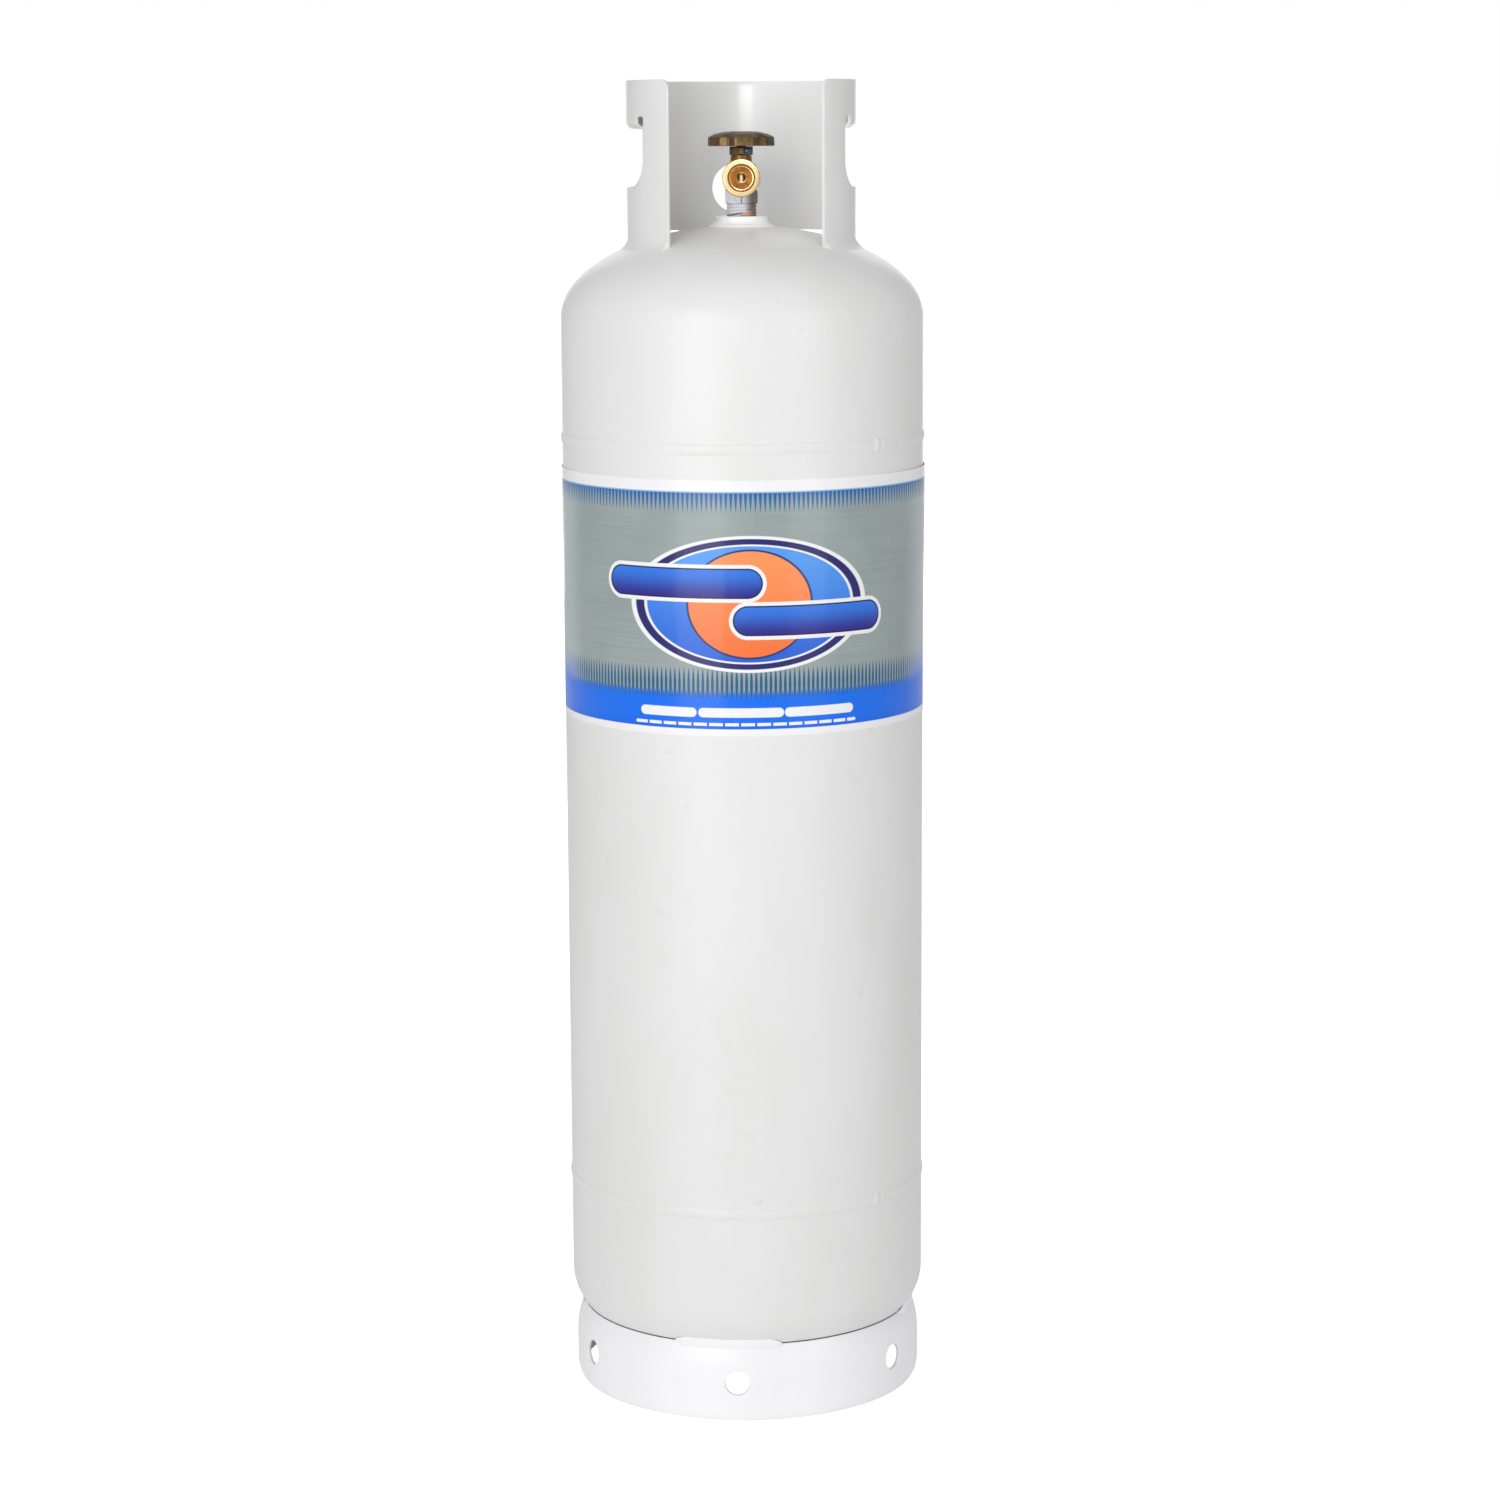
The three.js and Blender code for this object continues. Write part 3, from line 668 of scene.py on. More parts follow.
def printed_film():
    """The sleeve's print: fringes of blue needles on grey, a blue band, a plain oval badge and plain
    bars where a label would have its words."""
    finish = Finish(
        "printed_film", (146, 158, 158), Specular_IOR_Level=0.35, Coat_Weight=0.15, Coat_Roughness=0.08
    )
    blue, white = (0, 112, 242), (244, 244, 247)
    around = finish.around()
    along = around * SHELL
    degrees = around * (180 / math.pi)
    up = finish.z - SLEEVE_LOW
    from_top = up - (SLEEVE_HIGH - SLEEVE_LOW - 10.8)

    # The brushed grey field, laid paler in a band from about 60° to 110° either side of the front.
    side_band = degrees.absolute().step(58.0, 76.0) * degrees.absolute().below(96.0, 18.0)
    brushed = finish.noise(3, 4, (30, 30, 0.25)) * 0.6 + finish.noise(60, 2) * 0.4
    finish.lay(brushed.step(0.3, 0.7), (160, 171, 170))
    finish.lay(side_band * 0.55, (200, 210, 216))

    # Needles hang from the top edge and stand on the blue band.
    needle_pitch, hanging, standing = 4.7, 21.0, 36.0
    tooth = ((along / needle_pitch).math("FRACT") - 0.5).absolute() * 2
    drop = (from_top / hanging + 1.0).math("MAXIMUM", 0.0) * 0.92
    needles = tooth.step(drop + 0.14, drop - 0.14) * (from_top + hanging).step(0, 3)
    finish.lay(needles, finish.mix(from_top.step(-12, 0), (44, 112, 170), (40, 104, 176)))
    rise = (up - 31.0) / standing
    lens = (rise * math.pi).math("SINE").math("MAXIMUM", 0.0) * 0.62
    needles = tooth.step(lens + 0.14, lens - 0.14) * rise.step(-0.02, 0.04) * rise.below(1.0, 0.03)
    finish.lay(needles * (side_band * -1.0 + 1.0), (38, 98, 140))
    finish.lay(up.below(52.0, 24.0) * side_band, blue)
    finish.lay((up - tooth * 9.0).below(36.0, 1.2), blue)
    finish.lay(up.below(12.5, 4.0) * 0.35, (0, 94, 224))

    # A plain oval badge: white edge, navy ring, blue ground and an orange disc.
    shine = up.step(62.0, 190.0)
    ground = finish.mix(shine, (34, 96, 216), (84, 158, 244))
    for edge, tone in ((1.0, white), (0.955, (38, 36, 110)), (0.875, white), (0.85, ground)):
        finish.lay(oval(along, up, 122.0, 66.0).below(edge, 0.006), tone)
    warm = finish.mix(shine, (250, 118, 58), (255, 152, 92))
    for edge, tone in ((1.0, (30, 52, 110)), (0.965, warm)):
        finish.lay(oval(along, up, 62.0, 53.0).below(edge, 0.01), tone)

    # Two staggered plain bars, each with a white edge.
    for centre, height, half_length in ((-62.0, 148.0, 66.0), (68.0, 112.0, 64.0)):
        outside = bar(along, up, centre, height, half_length, 14.0)
        tone = finish.mix(up.step(height - 14, height + 14), (44, 34, 140), (48, 122, 232))
        for edge, colour in ((4.2, white), (0.6, (24, 24, 60)), (-0.8, tone)):
            finish.lay(outside.below(edge, 0.3), colour)

    # Plain strokes in place of words.
    for centre, half_length in ((-76.0, 25.0), (-3.0, 37.0), (76.0, 32.0)):
        finish.lay(bar(along, up, centre, 23.0, half_length, 4.6).below(0, 0.3), white)
    dash = ((along + 3.0) / 15.5).math("FRACT").below(0.86, 0.02)
    finish.lay(bar(along, up, 2.0, 11.6, 112.0, 1.5).below(0, 0.3) * dash, white)

    # White margins above, below and beside the overlap.
    finish.lay(from_top.step(-1.6, -1.2), (150, 196, 236))
    finish.lay(from_top.step(-0.3, 0.1), white)
    finish.lay(up.below(7.0, 0.2), white)
    finish.lay((degrees - SLEEVE_SEAM).absolute().below(1.1, 0.1), white)
    finish.number("Roughness", finish.noise(20, 3, (1, 1, 4)) * 0.12 + 0.2)
    finish.bump((finish.noise(26, 3, (0.6, 0.6, 3)), 0.5), (finish.noise(5, 2), 0.03))
    return finish.material


MATERIALS = {
    "enamel": paint("enamel", (233, 233, 233), (229, 229, 228), (217, 215, 209), painted_guard_light_and_groove_shade),
    "ring_paint": paint("ring_paint", (250, 250, 252), (246, 246, 249), (236, 235, 234)),
    "printed_film": printed_film(),
    "valve_brass": brass(),
    "bronzed_brass": bronze(),
    "plated_steel": plain(
        "plated_steel", (196, 197, 196), (168, 170, 172), 2, (1.0, 0.12, 0.24), (0.5, 0.01),
        stretch=(1, 1, 5), Metallic=1.0,
    ),
    "sealing_tape": tape(),
    "seal_rubber": plain("seal_rubber", (34, 34, 36), (46, 45, 46), 2, (1.0, 0.15, 0.6), (0.4, 0.01)),
    "blue_coating": plain(
        "blue_coating", (38, 92, 148), (24, 66, 118), 1.2, (1.0, 0.1, 0.1), (0.8, 0.05),
        detail=2, Coat_Weight=1.0, Coat_Roughness=0.08,
    ),
    "blue_plastic": plain(
        "blue_plastic", (40, 92, 170), (34, 80, 152), 6, (1.5, 0.12, 0.42), (0.5, 0.015), IOR=1.48
    ),
}
for node, item in frame["nodes"].items():
    item.data.materials.clear()
    item.data.materials.append(MATERIALS[slot_of[node]])


# --- shell


def arc(radius, rise, last, steps=40):
    """The quarter ellipse of a head, from its tangent line in to a last radius."""
    angles = np.linspace(0, math.acos(last / radius), steps + 1)
    return [(radius * math.cos(a), rise * math.sin(a)) for a in angles]


def head(tangent, weld, hole, up):
    """A drawn head. Its wall is the same all over, and its open edge slips inside the course."""
    outer = [(r, up * z + tangent) for r, z in arc(SHELL, HEAD_DEPTH, hole)]
    inner = [(r, up * z + tangent) for r, z in arc(SHELL - WALL, HEAD_DEPTH - WALL, hole)]
    spigot = SHELL - WALL - 0.3
    profile = [(spigot, weld - up * 14), (spigot, weld - up * 1.0), (SHELL, weld + up * 3.0)]
    profile += [*outer, *inner[::-1], (SHELL - WALL, weld + up * 4.5)]
    profile += [(spigot - WALL, weld - up * 0.5), (spigot - WALL, weld - up * 14)]
    profile = [(0.0 if r < 1e-3 else r, z) for r, z in profile]
    if hole == 0:
        top = next(i for i, (r, z) in enumerate(profile) if r == 0)
        profile = profile[top + 1:] + profile[: top + 1]
    return turned(profile if up > 0 else profile[::-1], 256)


def girth_weld(height, bead_turn):
    """A raised submerged-arc bead with close ripples and a lump where it starts and stops."""

    def section(angle):
        along = math.radians(angle) * SHELL
        wander = 0.35 * math.sin(5 * math.radians(angle) + bead_turn) + 0.2 * math.sin(along / 31)
        lump = hump(46, 1.0, angle) + 0.6 * hump(49, 0.9, angle)
        crown = 1.25 + 0.1 * math.sin(along * 2 * math.pi / 3.8) + 0.12 * math.sin(along / 19) + 0.9 * lump
        half = 5.4 + 0.25 * math.sin(along / 9) + 2.2 * lump
        points = [(SHELL - 1.6, height + wander - half * 0.6)]
        for k in range(15):
            t = -1 + 2 * k / 14
            ridge = math.sqrt(1 - t * t) ** 1.35
            points.append((SHELL - 0.12 + crown * ridge, height + wander + t * half))
        points.append((SHELL - 1.6, height + wander + half * 0.6))
        return points

    return swept(section, 0, 360, 1440)


def seam_weld():
    """The course's lengthwise bead at the back."""
    rings = []
    for z in np.linspace(LOWER_WELD + 5, UPPER_WELD - 5, 701):
        crown = 0.55 + 0.1 * math.sin(z * 1.9) + 0.06 * math.sin(z / 13)
        half = 3.6 + 0.2 * math.sin(z / 7)
        ring = []
        for t in (-1, -0.75, -0.45, 0, 0.45, 0.75, 1):
            rise = crown * (1 - t * t) - 0.12
            ring.append((t * half, SHELL - half * half * t * t / 2 / SHELL + rise, z))
        ring += [(half * 0.5, SHELL - 1.6, z), (-half * 0.5, SHELL - 1.6, z)]
        rings.append(ring)
    return stitched(rings)


def course():
    low, high = LOWER_WELD + 1.4, UPPER_WELD - 1.4
    inner = SHELL - WALL
    return turned([(inner, low), (SHELL, low), (SHELL, high), (inner, high)], 256)


place(head(UPPER_TANGENT, UPPER_WELD, BOSS_HOLE, 1), "upper_head")
place(head(LOWER_TANGENT, LOWER_WELD, 0, -1), "lower_head")
place(course(), "shell_course")
place(girth_weld(UPPER_WELD, 0.4), "upper_girth_weld", sharp=80)
place(girth_weld(LOWER_WELD, 2.1), "lower_girth_weld", sharp=80)
place(seam_weld(), "seam_weld", sharp=80)


# --- sleeve


def sleeve():
    """A shrunk film: tight below, a little loose towards its top, tented over the lengthwise weld,
    with its end lapped over its start."""
    rows, lap, film = 60, 1.6, 0.14
    start = SLEEVE_SEAM - lap / 2

    def section(angle):
        a = math.radians(angle)
        outer = []
        for j in range(rows + 1):
            t = j / rows
            loose = 1.3 * smooth(0.35, 1, t) * (hump(84, 26, angle) + hump(444, 26, angle))
            loose += 0.9 * smooth(0.55, 1, t) * (hump(268, 20, angle) + 0.3 * hump(170, 40, angle))
            ripple = 0.12 + 0.1 * math.sin(7 * a + 5 * t) * math.sin(3 * a - 2) * smooth(0, 0.3, t)
            tent = 0.75 * hump(180, 2.6, angle)
            over = 0.35 * smooth(360 - lap, 360, angle - start)
            radius = SHELL + 0.12 + ripple + loose + tent + over
            outer.append((radius, SLEEVE_LOW + (SLEEVE_HIGH - SLEEVE_LOW) * t))
        return outer + [(r * (1 - film / SHELL), z) for r, z in outer[::-1]]

    return swept(section, start, start + 360 + lap, 720)


place(sleeve(), "printed_sleeve", sharp=60)


# --- foot ring


def smooth_curve(corners, per_side=16):
    """A curve through the corners (Catmull-Rom), as points with their distance along it."""
    ends = [tuple(2 * np.array(corners[0]) - corners[1])] + corners
    ends.append(tuple(2 * np.array(corners[-1]) - corners[-2]))
    path = []
    for i in range(len(corners) - 1):
        p0, p1, p2, p3 = (np.array(p, float) for p in ends[i:i + 4])
        for k in range(per_side):
            t = k / per_side
            path.append(0.5 * (2 * p1 + (p2 - p0) * t + (2 * p0 - 5 * p1 + 4 * p2 - p3) * t**2
                               + (3 * p1 - p0 - 3 * p2 + p3) * t**3))
    path.append(np.array(corners[-1], float))
    path = np.array(path)
    along = np.concatenate([[0], np.cumsum(np.linalg.norm(np.diff(path, axis=0), axis=1))])
    return path, along


def foot_ring():
    r, top = FOOT_RADIUS, FOOT_TOP
    corners = [
        (r - 3.5, 0), (r - 0.8, 6), (r, 14), (r, 29), (r, 44), (r - 1.2, 56), (r - 3.8, 67), (r - 8.1, top),
    ]
    path, along = smooth_curve(corners)
    slope = np.gradient(path, along, axis=0)

    def form(u, v, depth):
        at = [np.interp(v, along, path[:, i]) for i in (0, 1)]
        tangent = [np.interp(v, along, slope[:, i]) for i in (0, 1)]
        radius = at[0] - depth * tangent[1]
        return polar(radius, math.degrees(u / r), at[1] + depth * tangent[0])

    half = math.pi * r
    columns = np.linspace(-half, half, 240, endpoint=False)
    rows = np.linspace(0, along[-1], 30, endpoint=False)
    outline = [(u, 0) for u in columns] + [(half, v) for v in rows]
    loops = [outline + [(-u, along[-1] - v) for u, v in outline]]
    hole_v = float(np.interp(FOOT_HOLE_HEIGHT, path[:, 1], along))
    for k in range(FOOT_HOLES):
        turn = (FOOT_HOLE_TURN + 360 / FOOT_HOLES * k + 180) % 360 - 180
        loops.append(circle(math.radians(turn) * r, hole_v, FOOT_HOLE_RADIUS, 56))
    grid = [(u, v) for u in columns[1:] for v in rows[1:]]
    ring = formed(loops, grid, form, SHEET, 1.2)
    return bevel(ring, 0.55, 3, 50)


def foot_weld(index):
    """A short fillet in the groove between the lower head and the foot ring."""
    start = FOOT_WELD_START + 90 * index
    end = start + FOOT_WELD_SWEEP
    radius = FOOT_RADIUS - 5.0

    def section(angle):
        along = math.radians(angle) * radius
        taper = math.sqrt(max(0.02, min(1, (angle - start) / 4, (end - angle) / 4)))
        ripple = 0.04 * math.sin(along * 2 * math.pi / 4.2) + 0.12 * math.sin(along / 8 + index)
        points = []
        for k in range(12):
            t = -1 + 2 * k / 11
            bulge = (0.4 + ripple) * (1 - t * t) * taper
            points.append((radius - 0.7 + 0.6 * t + bulge, FOOT_TOP + 0.6 + 5.3 * taper * t))
        points.append((radius - 3.6, FOOT_TOP + 1.2))
        points.append((radius - 3.6, FOOT_TOP - 0.8))
        return points

    return swept(section, start, end, 166)


place(foot_ring(), "foot_ring", sharp=60)
for index in range(4):
    place(foot_weld(index), f"foot_ring_weld_{index + 1}", sharp=80)


# --- collar


def fillet_arc(centre, radius, start, end, steps=8):
    angles = np.radians(np.linspace(start, end, steps + 1))
    return [(centre[0] + radius * math.cos(a), centre[1] + radius * math.sin(a)) for a in angles]


def dome_height(radius):
    return UPPER_TANGENT + HEAD_DEPTH * math.sqrt(1 - (radius / SHELL) ** 2)


def collar():
    """Rolled sheet with its corners rounded, two hand holes whose top edges are curled inwards,
    a round hole at the back and two drain gaps."""
    per_degree = math.radians(1) * COLLAR
    low = dome_height(COLLAR) + 0.2
    drain_top, drain_corner = BOSS_TOP - 16.0, 4.0
    corner, deep = 9.0, 26.0
    bend, curled = CURL_RADIUS - SHEET / 2, 245
    tongue = math.radians(curled) * bend
    hole_half, tongue_half = 31.0 * per_degree, 23.5 * per_degree
    hole_centres = [angle * per_degree for angle in (HAND_HOLE_ANGLE, 360 - HAND_HOLE_ANGLE)]

    left, right = (angle * per_degree for angle in (COLLAR_OPENING, 360 - COLLAR_OPENING))
    outline = [(left, low)]
    for drain in ((112, 150), (210, 248)):
        a, b = (angle * per_degree for angle in drain)
        below = drain_top - drain_corner
        outline += [(a, low), (a, below)]
        outline += fillet_arc((a + drain_corner, below), drain_corner, 180, 90, 4)
        outline += fillet_arc((b - drain_corner, below), drain_corner, 90, 0, 4)
        outline += [(b, low)]
    outline += [(right, low)]
    outline += fillet_arc((right - corner, COLLAR_TOP - corner), corner, 0, 90)
    outline += fillet_arc((left + corner, COLLAR_TOP - corner), corner, 90, 180)
    loops = [subdivided(outline, 3.0)]
    for centre in hole_centres:
        notch = CURL_HEIGHT + 4.5
        end = CURL_HEIGHT - tongue
        hole = [(centre - hole_half, notch - 2)]
        hole += fillet_arc((centre - hole_half + deep, HAND_HOLE_LOW + deep), deep, 180, 270, 12)
        hole += fillet_arc((centre + hole_half - deep, HAND_HOLE_LOW + deep), deep, 270, 360, 12)
        hole += [(centre + hole_half, notch - 2), (centre + hole_half - 2, notch)]
        hole += [(centre + tongue_half + 2, notch), (centre + tongue_half, notch - 2)]
        hole += [(centre + tongue_half, end), (centre - tongue_half, end)]
        hole += [(centre - tongue_half, notch - 2), (centre - tongue_half - 2, notch)]
        hole += [(centre - hole_half + 2, notch)]
        loops.append(subdivided(hole, 1.3))
    loops.append(circle(180 * per_degree, BACK_HOLE_HEIGHT, BACK_HOLE_RADIUS, 72))

    def form(u, v, depth):
        angle = u / per_degree + COLLAR_TURN
        on_tongue = any(abs(u - centre) < tongue_half + 0.4 for centre in hole_centres)
        if on_tongue and CURL_HEIGHT - tongue - 1 < v < CURL_HEIGHT:
            turn = (CURL_HEIGHT - v) / bend
            reach = CURL_RADIUS - depth
            radius = COLLAR - CURL_RADIUS + reach * math.cos(turn)
            return polar(radius, angle, CURL_HEIGHT - reach * math.sin(turn))
        return polar(COLLAR - depth, angle, v)

    columns = np.arange(left, right, 4.6)
    grid = [(u, v) for u in columns for v in np.arange(low, COLLAR_TOP, 4.6)]
    grid = [
        (u, v) for u, v in grid
        if not any(abs(u - c) < tongue_half and HAND_HOLE_LOW < v < CURL_HEIGHT + 2 for c in hole_centres)
    ]
    rolled = np.linspace(CURL_HEIGHT, CURL_HEIGHT - tongue, 24)[:-1]
    for centre in hole_centres:
        grid += [(u, v) for u in columns if abs(u - centre) < tongue_half for v in rolled]
    sheet = formed(loops, grid, form, SHEET, 0.55)
    return bevel(sheet, 0.5, 3, 50)


def collar_weld(start, end):
    """The fillet round the collar's foot, uneven and rounded at its ends."""
    height = dome_height(COLLAR)

    def section(angle):
        along = math.radians(angle) * COLLAR
        taper = math.sqrt(max(0.03, min(1, (angle - start) / 2.2, (end - angle) / 2.2)))
        ripple = 0.28 * math.sin(along * 2 * math.pi / 4.6) + 0.35 * math.sin(along / 11 + start)
        up, out = (6.2 + ripple) * taper, (7.6 + ripple) * taper
        foot = COLLAR + out
        points = [(COLLAR - 0.8, height - 1.2), (foot - 1.5, dome_height(foot - 1.5) - 1.5)]
        for k in range(11):
            t = k / 10
            bulge = (0.9 - 0.5 * t) * math.sin(math.pi * t) * taper
            r = foot + (COLLAR - 0.1 - foot) * t + bulge * 0.6 - 1.1 * math.sin(math.pi * t) * taper
            base = dome_height(foot) - 0.1
            points.append((r, base + (height + up - base) * t + bulge * 0.4 - 0.7 * math.sin(math.pi * t)))
        return points

    item = swept(section, start, end, round((end - start) / 0.3))
    return moved(item, Matrix.Rotation(math.radians(COLLAR_TURN), 4, "Z"))


guard = place(collar(), "collar", sharp=60)
for side, (start, end) in {"left": (-111, -41.9), "right": (41.9, 111), "back": (151, 209)}.items():
    place(collar_weld(start, end), f"collar_weld_{side}", sharp=80)


# --- valve boss


def boss():
    bore, top, neck = 14.9, BOSS_TOP, BOSS_HOLE - 0.2
    return lathed(
        128, (bore, top - 20), (neck, top - 20, 0.4), (neck, top - 9.3), (BOSS_RADIUS, top - 9.3),
        (BOSS_RADIUS, top, 1.3), (bore + 0.5, top, 0.4), (bore, top - 1.2),
    )


def boss_weld():
    """A flared fillet round the boss, drawn down onto the head."""

    def shape(radius, height, angle):
        if radius < BOSS_RADIUS - 0.5:
            return radius, height
        along = math.radians(angle) * 30
        ripple = 0.16 * math.sin(along * 2 * math.pi / 4.7) + 0.25 * math.sin(3 * math.radians(angle) + 1)
        return radius + ripple, height + ripple * 0.3

    foot = BOSS_RADIUS + 6.6
    ground = dome_height(foot)
    corners = [
        (foot, ground), (foot - 1.2, ground + 1.5), (foot - 3.6, ground + 2.6),
        (BOSS_RADIUS + 0.8, ground + 3.9), (BOSS_RADIUS - 0.1, ground + 6.0),
    ]
    path, _ = smooth_curve(corners, 5)
    profile = [tuple(p) for p in path]
    profile += [(BOSS_RADIUS - 1, ground + 5), (BOSS_RADIUS - 1, ground - 1.5), (foot - 1, ground - 1.5)]
    return turned(profile, 256, shape)


neck_ring = place(boss(), "valve_boss")
ring_fillet = place(boss_weld(), "boss_weld", sharp=80)


# --- valve body


def thread(radius, depth, pitch, low, high, around=96):
    """A rod with a left-hand thread, to cut a threaded bore."""
    rows = round((high - low) / pitch * 8)
    heights = [low + (high - low) * k / rows for k in range(rows + 1)]

    def shape(r, z, angle):
        if r < radius or z >= high or z <= low:
            return r, z
        phase = (z / pitch + angle / 360) % 1
        return radius + depth * (1 - abs(2 * phase - 1)), z

    profile = [(0, low)] + [(radius + 1e-4, z) for z in heights] + [(0, high)]
    return turned(profile, around, shape)


def forging():
    """The forged middle: barrel, outlet root, relief barrel and bleed boss, blended together."""
    top = BOSS_TOP
    body = lathed(
        96, (0, top + 20), (14.6, top + 20, 1.5), (15.6, top + 26, 3), (15.2, top + 42, 4),
        (10.6, top + 49.5, 3), (10.4, top + 58.6), (0, top + 58.6),
    )
    root = rod(16.4, 0, 25, 96)
    relief = rod(10.7, 0, 33, 96)
    bleed = rod(4.6, 0, 18.3, 48)
    join(body, laid(root, 0), laid(relief, 180), laid(bleed, BLEED_ANGLE))
    remesh = body.modifiers.new("remesh", "REMESH")
    remesh.mode = "VOXEL"
    remesh.voxel_size = 0.55 * MM
    soften = body.modifiers.new("soften", "SMOOTH")
    soften.iterations = 14
    soften.factor = 0.6
    return settle(body)


def valve_body():
    top = BOSS_TOP
    body = forging()
    flats = hexagonal(32, top + 12.3, top + 25.6)
    face = OUTLET_REACH
    spigot = lathed(96, (0, top - 24), (12.4, top - 24), (13.3, top - 22), (13.5, top + 13), (0, top + 13))
    nose = lathed(
        160, (0, 21), (16.6, 21), (16.6, 23.2), (17.6, 24.2, 0.4), (NOSE_RADIUS, 24.2, 0.5),
        (NOSE_RADIUS, face, 0.7), (0, face),
    )
    neck = rod(10.3, top + 55, top + 59, 96)
    relief_face = lathed(96, (0, 31), (10.8, 31), (10.8, 36, 0.5), (0, 36))
    join(body, flats, spigot, laid(nose, 0), neck, laid(relief_face, 180))
    mouth = lathed(
        160, (0, 18.6), (5.3, 18.6), (5.3, 19.6), (10.2, 24.6), (10.9, 25), (10.9, face - 2.1),
        (11.1, face - 1.8), (11.9, face - 1.7), (13.6, face), (13.6, face + 1), (0, face + 1),
    )
    turns = thread(10.7, 0.5, THREAD_PITCH, 25.5, face - 2.3)
    seat_hole = rod(4.6, 0, 20, 48)
    chamber = rod(7.5, top + 28, top + 57)
    bonnet_seat = rod(8.8, top + 55.9, top + 60)
    inlet = rod(4.5, top - 25, top + 29, 48)
    relief_way = rod(3.5, 8.6, 16, 48)
    relief_chamber = rod(7, 15, 37)
    bleed_way = laid(rod(2, 9.4, 19, 32), BLEED_ANGLE)
    ahead = [laid(item, 0) for item in (mouth, turns, seat_hole)]
    behind = [laid(item, 180) for item in (relief_way, relief_chamber)]
    return cut(body, *ahead, chamber, bonnet_seat, inlet, *behind, bleed_way)


def tape_turns():
    """Tape wound on the inlet thread: each turn laps the last, a little askew."""
    low, high = BOSS_TOP - 16, BOSS_TOP + 12
    rows = 120

    def shape(radius, height, angle):
        if radius < 14:
            return radius, height
        a = math.radians(angle)
        phase = ((height - TAPE_ASKEW * math.sin(a + TAPE_ASKEW_FROM)) / TAPE_PITCH + angle / 360) % 1
        lap = 0.6 * smooth(0, 0.12, phase) * (1 - 0.8 * smooth(0.12, 1, phase))
        crease = 0.1 * math.sin(9 * a + height) * math.sin(4 * a - height / 2)
        return radius + lap + crease, height

    outside = [(14.15, z) for z in np.linspace(low, high, rows + 1)]
    profile = [(13.6, low), *outside, (13.6, high)]
    return turned(profile, 160, shape)


valve = place(valve_body(), "valve_body", sharp=32)
tape_wound = place(tape_turns(), "thread_seal_tape", sharp=60)


# --- bonnet and small pieces


def bonnet():
    low = BOSS_TOP + 59.3
    nut = hexagonal(23, low, BONNET_TOP)
    join(nut, rod(8.5, BOSS_TOP + 56.2, low + 1, 64))
    lock_hole = laid(rod(1.8, 8, 15, 32), 30, low + 4.2)
    cut(nut, rod(5.1, BOSS_TOP + 50, BOSS_TOP + 70, 64), lock_hole)
    return bevel(nut, 0.25, 2, 30)


def lock_screw():
    """A small screw head under a thick drop of blue locking lacquer."""
    screw = lathed(
        48, (0, 8.6), (1.5, 8.6), (1.5, 11.6, 0.1), (3.5, 11.6, 0.5), (3.1, 13.6, 1.0), (0, 14.1)
    )
    return laid(screw, 30, BOSS_TOP + 63.5)


def screw_slot(width, low, high, reach):
    half = width / 2
    return prism([(-reach, -half), (reach, -half), (reach, half), (-reach, half)], low, high)


def bleed_screw():
    screw = lathed(
        64, (0, 11.6), (0.9, 11.6), (1.75, 13), (1.75, 18.9), (3.2, 18.9, 0.2), (3.2, 21.4, 0.4), (0, 21.4)
    )
    cut(screw, screw_slot(0.9, 20.4, 22, 4))
    return laid(screw, BLEED_ANGLE)


def relief_cap():
    """A blue push-on cap with gripping ribs and a drip hole."""

    def shape(radius, height, angle):
        if radius < 11.9 or height > 36.6:
            return radius, height
        return radius - 0.3 * smooth(-0.2, 0.6, math.sin(math.radians(angle * 36))), height

    reach = extent("relief_cap")[1].y
    face = reach - 1.5
    cap = lathed(
        288, (0, face), (10.9, face, 0.3), (10.9, reach - 6.8), (12, reach - 6.8, 0.3),
        (12, reach, 0.9), (7, reach, 0.5), (6.4, reach - 0.5, 0.3), (0, reach - 0.5), shape=shape,
    )
    cut(cap, rod(0.9, face - 1, reach + 1, 32))
    return laid(cap, 180)


def relief_spring():
    """A compression spring along +Z, its end coils wound close."""
    wire, radius, turns = 0.7, 4.6, 4.5
    closed, close_pitch = 0.75, 1.5
    open_length = SPRING_HIGH - SPRING_LOW - 2 * wire - 2 * closed * close_pitch
    open_pitch = open_length / (turns - 2 * closed)
    rings = []
    for turn in np.linspace(0, turns, 217):
        opened = min(max(turn - closed, 0), turns - 2 * closed)
        height = SPRING_LOW + wire + close_pitch * (turn - opened) + open_pitch * opened
        section = circle(radius, height, wire, 14)
        rings.append([polar(r, 360 * turn, z) for r, z in section])
    return laid(stitched(rings), 180)


coil = place(relief_spring(), "relief_spring", sharp=60)
1 - RELIEF_LIFT / (SPRING_HIGH - SPRING_LOW)
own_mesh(coil)
place(bonnet(), "bonnet")
place(lock_screw(), "bonnet_lock_screw", sharp=60)
place(bleed_screw(), "bleed_screw")
place(relief_cap(), "relief_cap")


# --- handwheel


def lobe_radius(angle):
    half = 180 / WHEEL_LOBES
    off = abs((angle - WHEEL_TURN + half) % (2 * half) - half)
    flat = 0.9 * (1 - smooth(0, 17, off))
    return WHEEL_RADIUS - flat - 3.0 * smooth(13, half - 2, off)


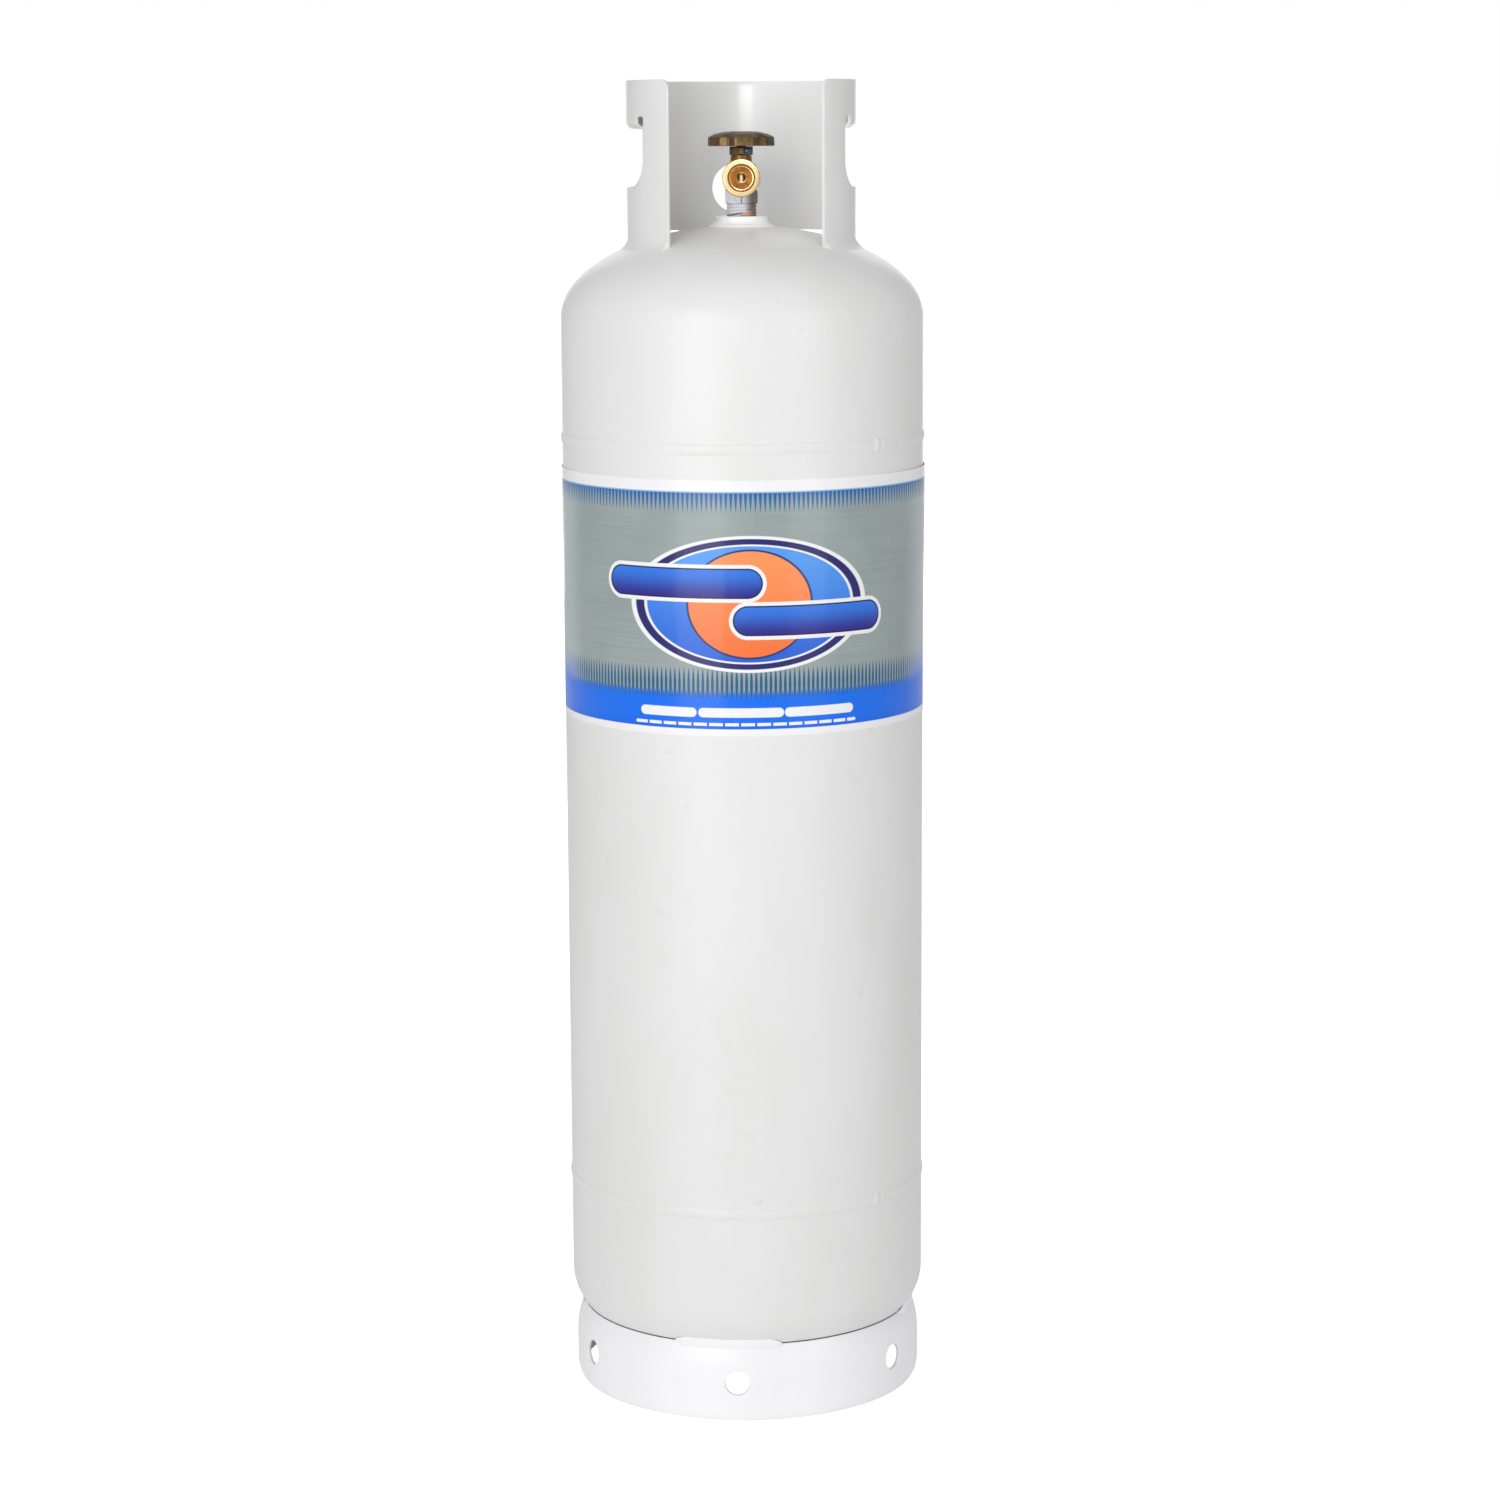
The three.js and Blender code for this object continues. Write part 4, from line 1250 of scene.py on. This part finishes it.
def handwheel():
    """A low domed casting with a scalloped rim, hollow below, and a boss round the stem's square."""
    low, high, r = WHEEL_LOW, WHEEL_HIGH, WHEEL_RADIUS
    profile = rounded(
        [
            (8, low, 0.5), (8, low + 9.3, 1.2), (18, low + 9.3, 3), (27, low + 4.6, 2.2), (28.6, low, 0.5),
            (r, low, 0.7), (r - 0.5, low + 8.7, 1.9), (26.5, low + 11.7, 5), (17.5, high - 0.5, 9),
            (7.5, high, 1.2), (6.1, high, 0.5), (6.1, high - 4, 0.3), (4, high - 4), (4, low),
        ],
        10,
    )

    def shape(radius, height, angle):
        fade = smooth(17, 29, radius)
        return radius * (1 + (lobe_radius(angle) / WHEEL_RADIUS - 1) * fade), height

    wheel = turned(profile, 384, shape)
    join(wheel, rod(5, low + 0.3, high - 4.1))
    return cut(wheel, prism([(-3.6, -3.6), (3.6, -3.6), (3.6, 3.6), (-3.6, 3.6)], low - 1, high))


def handwheel_screw():
    low = extent("handwheel_screw")[0].z
    head_low = low + 7
    screw = lathed(
        64, (0, low), (1.7, low, 0.2), (1.9, head_low), (5.2, head_low, 0.2), (5.2, head_low + 1.5, 0.5),
        (3.4, head_low + 3.0, 1.2), (0, head_low + 3.2),
    )
    slots = [screw_slot(1.0, head_low + 1.2, head_low + 4, 2.4) for _ in range(2)]
    moved(slots[1], Matrix.Rotation(math.radians(90), 4, "Z"))
    return cut(screw, *slots)


place(handwheel(), "handwheel")
place(handwheel_screw(), "handwheel_screw")


# --- studio


def by_camera_ray(tree, output, seen, lit):
    """Gives a shader one strength where the camera sees it, and another where it lights."""
    path = tree.nodes.new("ShaderNodeLightPath")
    mix = tree.nodes.new("ShaderNodeMix")
    mix.inputs[2].default_value = lit
    mix.inputs[3].default_value = seen
    tree.links.new(path.outputs["Is Camera Ray"], mix.inputs[0])
    tree.links.new(mix.outputs[0], output)


def studio_world(ambient):
    world = bpy.data.worlds.new("studio")
    scene.world = world
    world.use_nodes = True
    background = world.node_tree.nodes["Background"]
    background.inputs["Color"].default_value = (1, 1, 1, 1)
    by_camera_ray(world.node_tree, background.inputs["Strength"], 1.0, ambient)


def studio_floor():
    reach = 60000.0
    corners = [(x * reach, y * reach, 0) for x, y in ((-1, -1), (1, -1), (1, 1), (-1, 1))]
    floor = piece(corners, [[0, 1, 2, 3]])
    floor.name = "floor"
    white = bpy.data.materials.new("floor")
    white.use_nodes = True
    shader = white.node_tree.nodes["Principled BSDF"]
    shader.inputs["Base Color"].default_value = (0.8, 0.8, 0.8, 1)
    shader.inputs["Roughness"].default_value = 0.9
    shader.inputs["Specular IOR Level"].default_value = 0.0
    shader.inputs["Emission Color"].default_value = (1, 1, 1, 1)
    by_camera_ray(white.node_tree, shader.inputs["Emission Strength"], 0.9, 0.15)
    floor.data.materials.append(white)


def softbox(name, azimuth, distance, height, width, tall, power, aim=650.0):
    """An area light at an azimuth from the front, facing the cylinder's axis at a height."""
    light = bpy.data.lights.new(name, "AREA")
    light.shape = "RECTANGLE"
    light.size = width * MM
    light.size_y = tall * MM
    light.energy = power
    item = bpy.data.objects.new(name, light)
    scene.collection.objects.link(item)
    spot = Vector(polar(distance, azimuth, height)) * MM
    item.location = spot
    item.rotation_euler = (Vector((0, 0, aim * MM)) - spot).to_track_quat("-Z", "Y").to_euler()
    item.visible_camera = False
    return item


def light_only(light, *items):
    """Keeps a light to some pieces, as flags and snoots would."""
    lit = bpy.data.collections.new(light.name + "_lit")
    for item in items:
        lit.objects.link(item)
    light.light_linking.receiver_collection = lit


def camera():
    """A long lens a little below the collar's top, looking slightly down."""
    data = bpy.data.cameras.new("camera")
    data.lens = 87.70
    data.sensor_width = 36
    item = bpy.data.objects.new("camera", data)
    scene.collection.objects.link(item)
    shell_diameter = 2 * SHELL * MM
    item.location = (0, -10.138 * shell_diameter, 3.5228 * shell_diameter)
    pan = Matrix.Rotation(math.radians(-0.088), 4, "Z")
    pitch = Matrix.Rotation(math.radians(90 - 9.639), 4, "X")
    roll = Matrix.Rotation(math.radians(-0.3055), 4, "Z")
    item.rotation_euler = (pan @ pitch @ roll).to_euler()
    scene.camera = item


studio_world(0.46)
studio_floor()

# Each lamp has an azimuth, a distance and a height, a width and a length, its watts, and the height
# on the cylinder's axis that it faces.
softbox("key", -27, 3400, 1500, 2000, 2800, 40.5)
softbox("front", -10, 4200, 1450, 2200, 1900, 10, 1000)
softbox("fill", 40, 3600, 1500, 1600, 2400, 17.5)
softbox("top", 10, 900, 3300, 2200, 1600, 7.8, 900)
card = softbox("card", -6, 900, 1330, 230, 60, 2.5, 1300)
card.visible_diffuse = False
light_only(card, guard)
light_only(softbox("lamp", 3, 1500, 1480, 200, 200, 1.0, 1215), valve, tape_wound)
light_only(softbox("ring_lamp", 3, 1500, 2000, 200, 200, 3.4, 1215), neck_ring, ring_fillet)
light_only(softbox("seat_lamp", 0, 1500, 1480, 100, 100, 9, 1215), frame["nodes"]["lower_spindle"])
softbox("back", 180, 3400, 1500, 2400, 2400, 22)
camera()
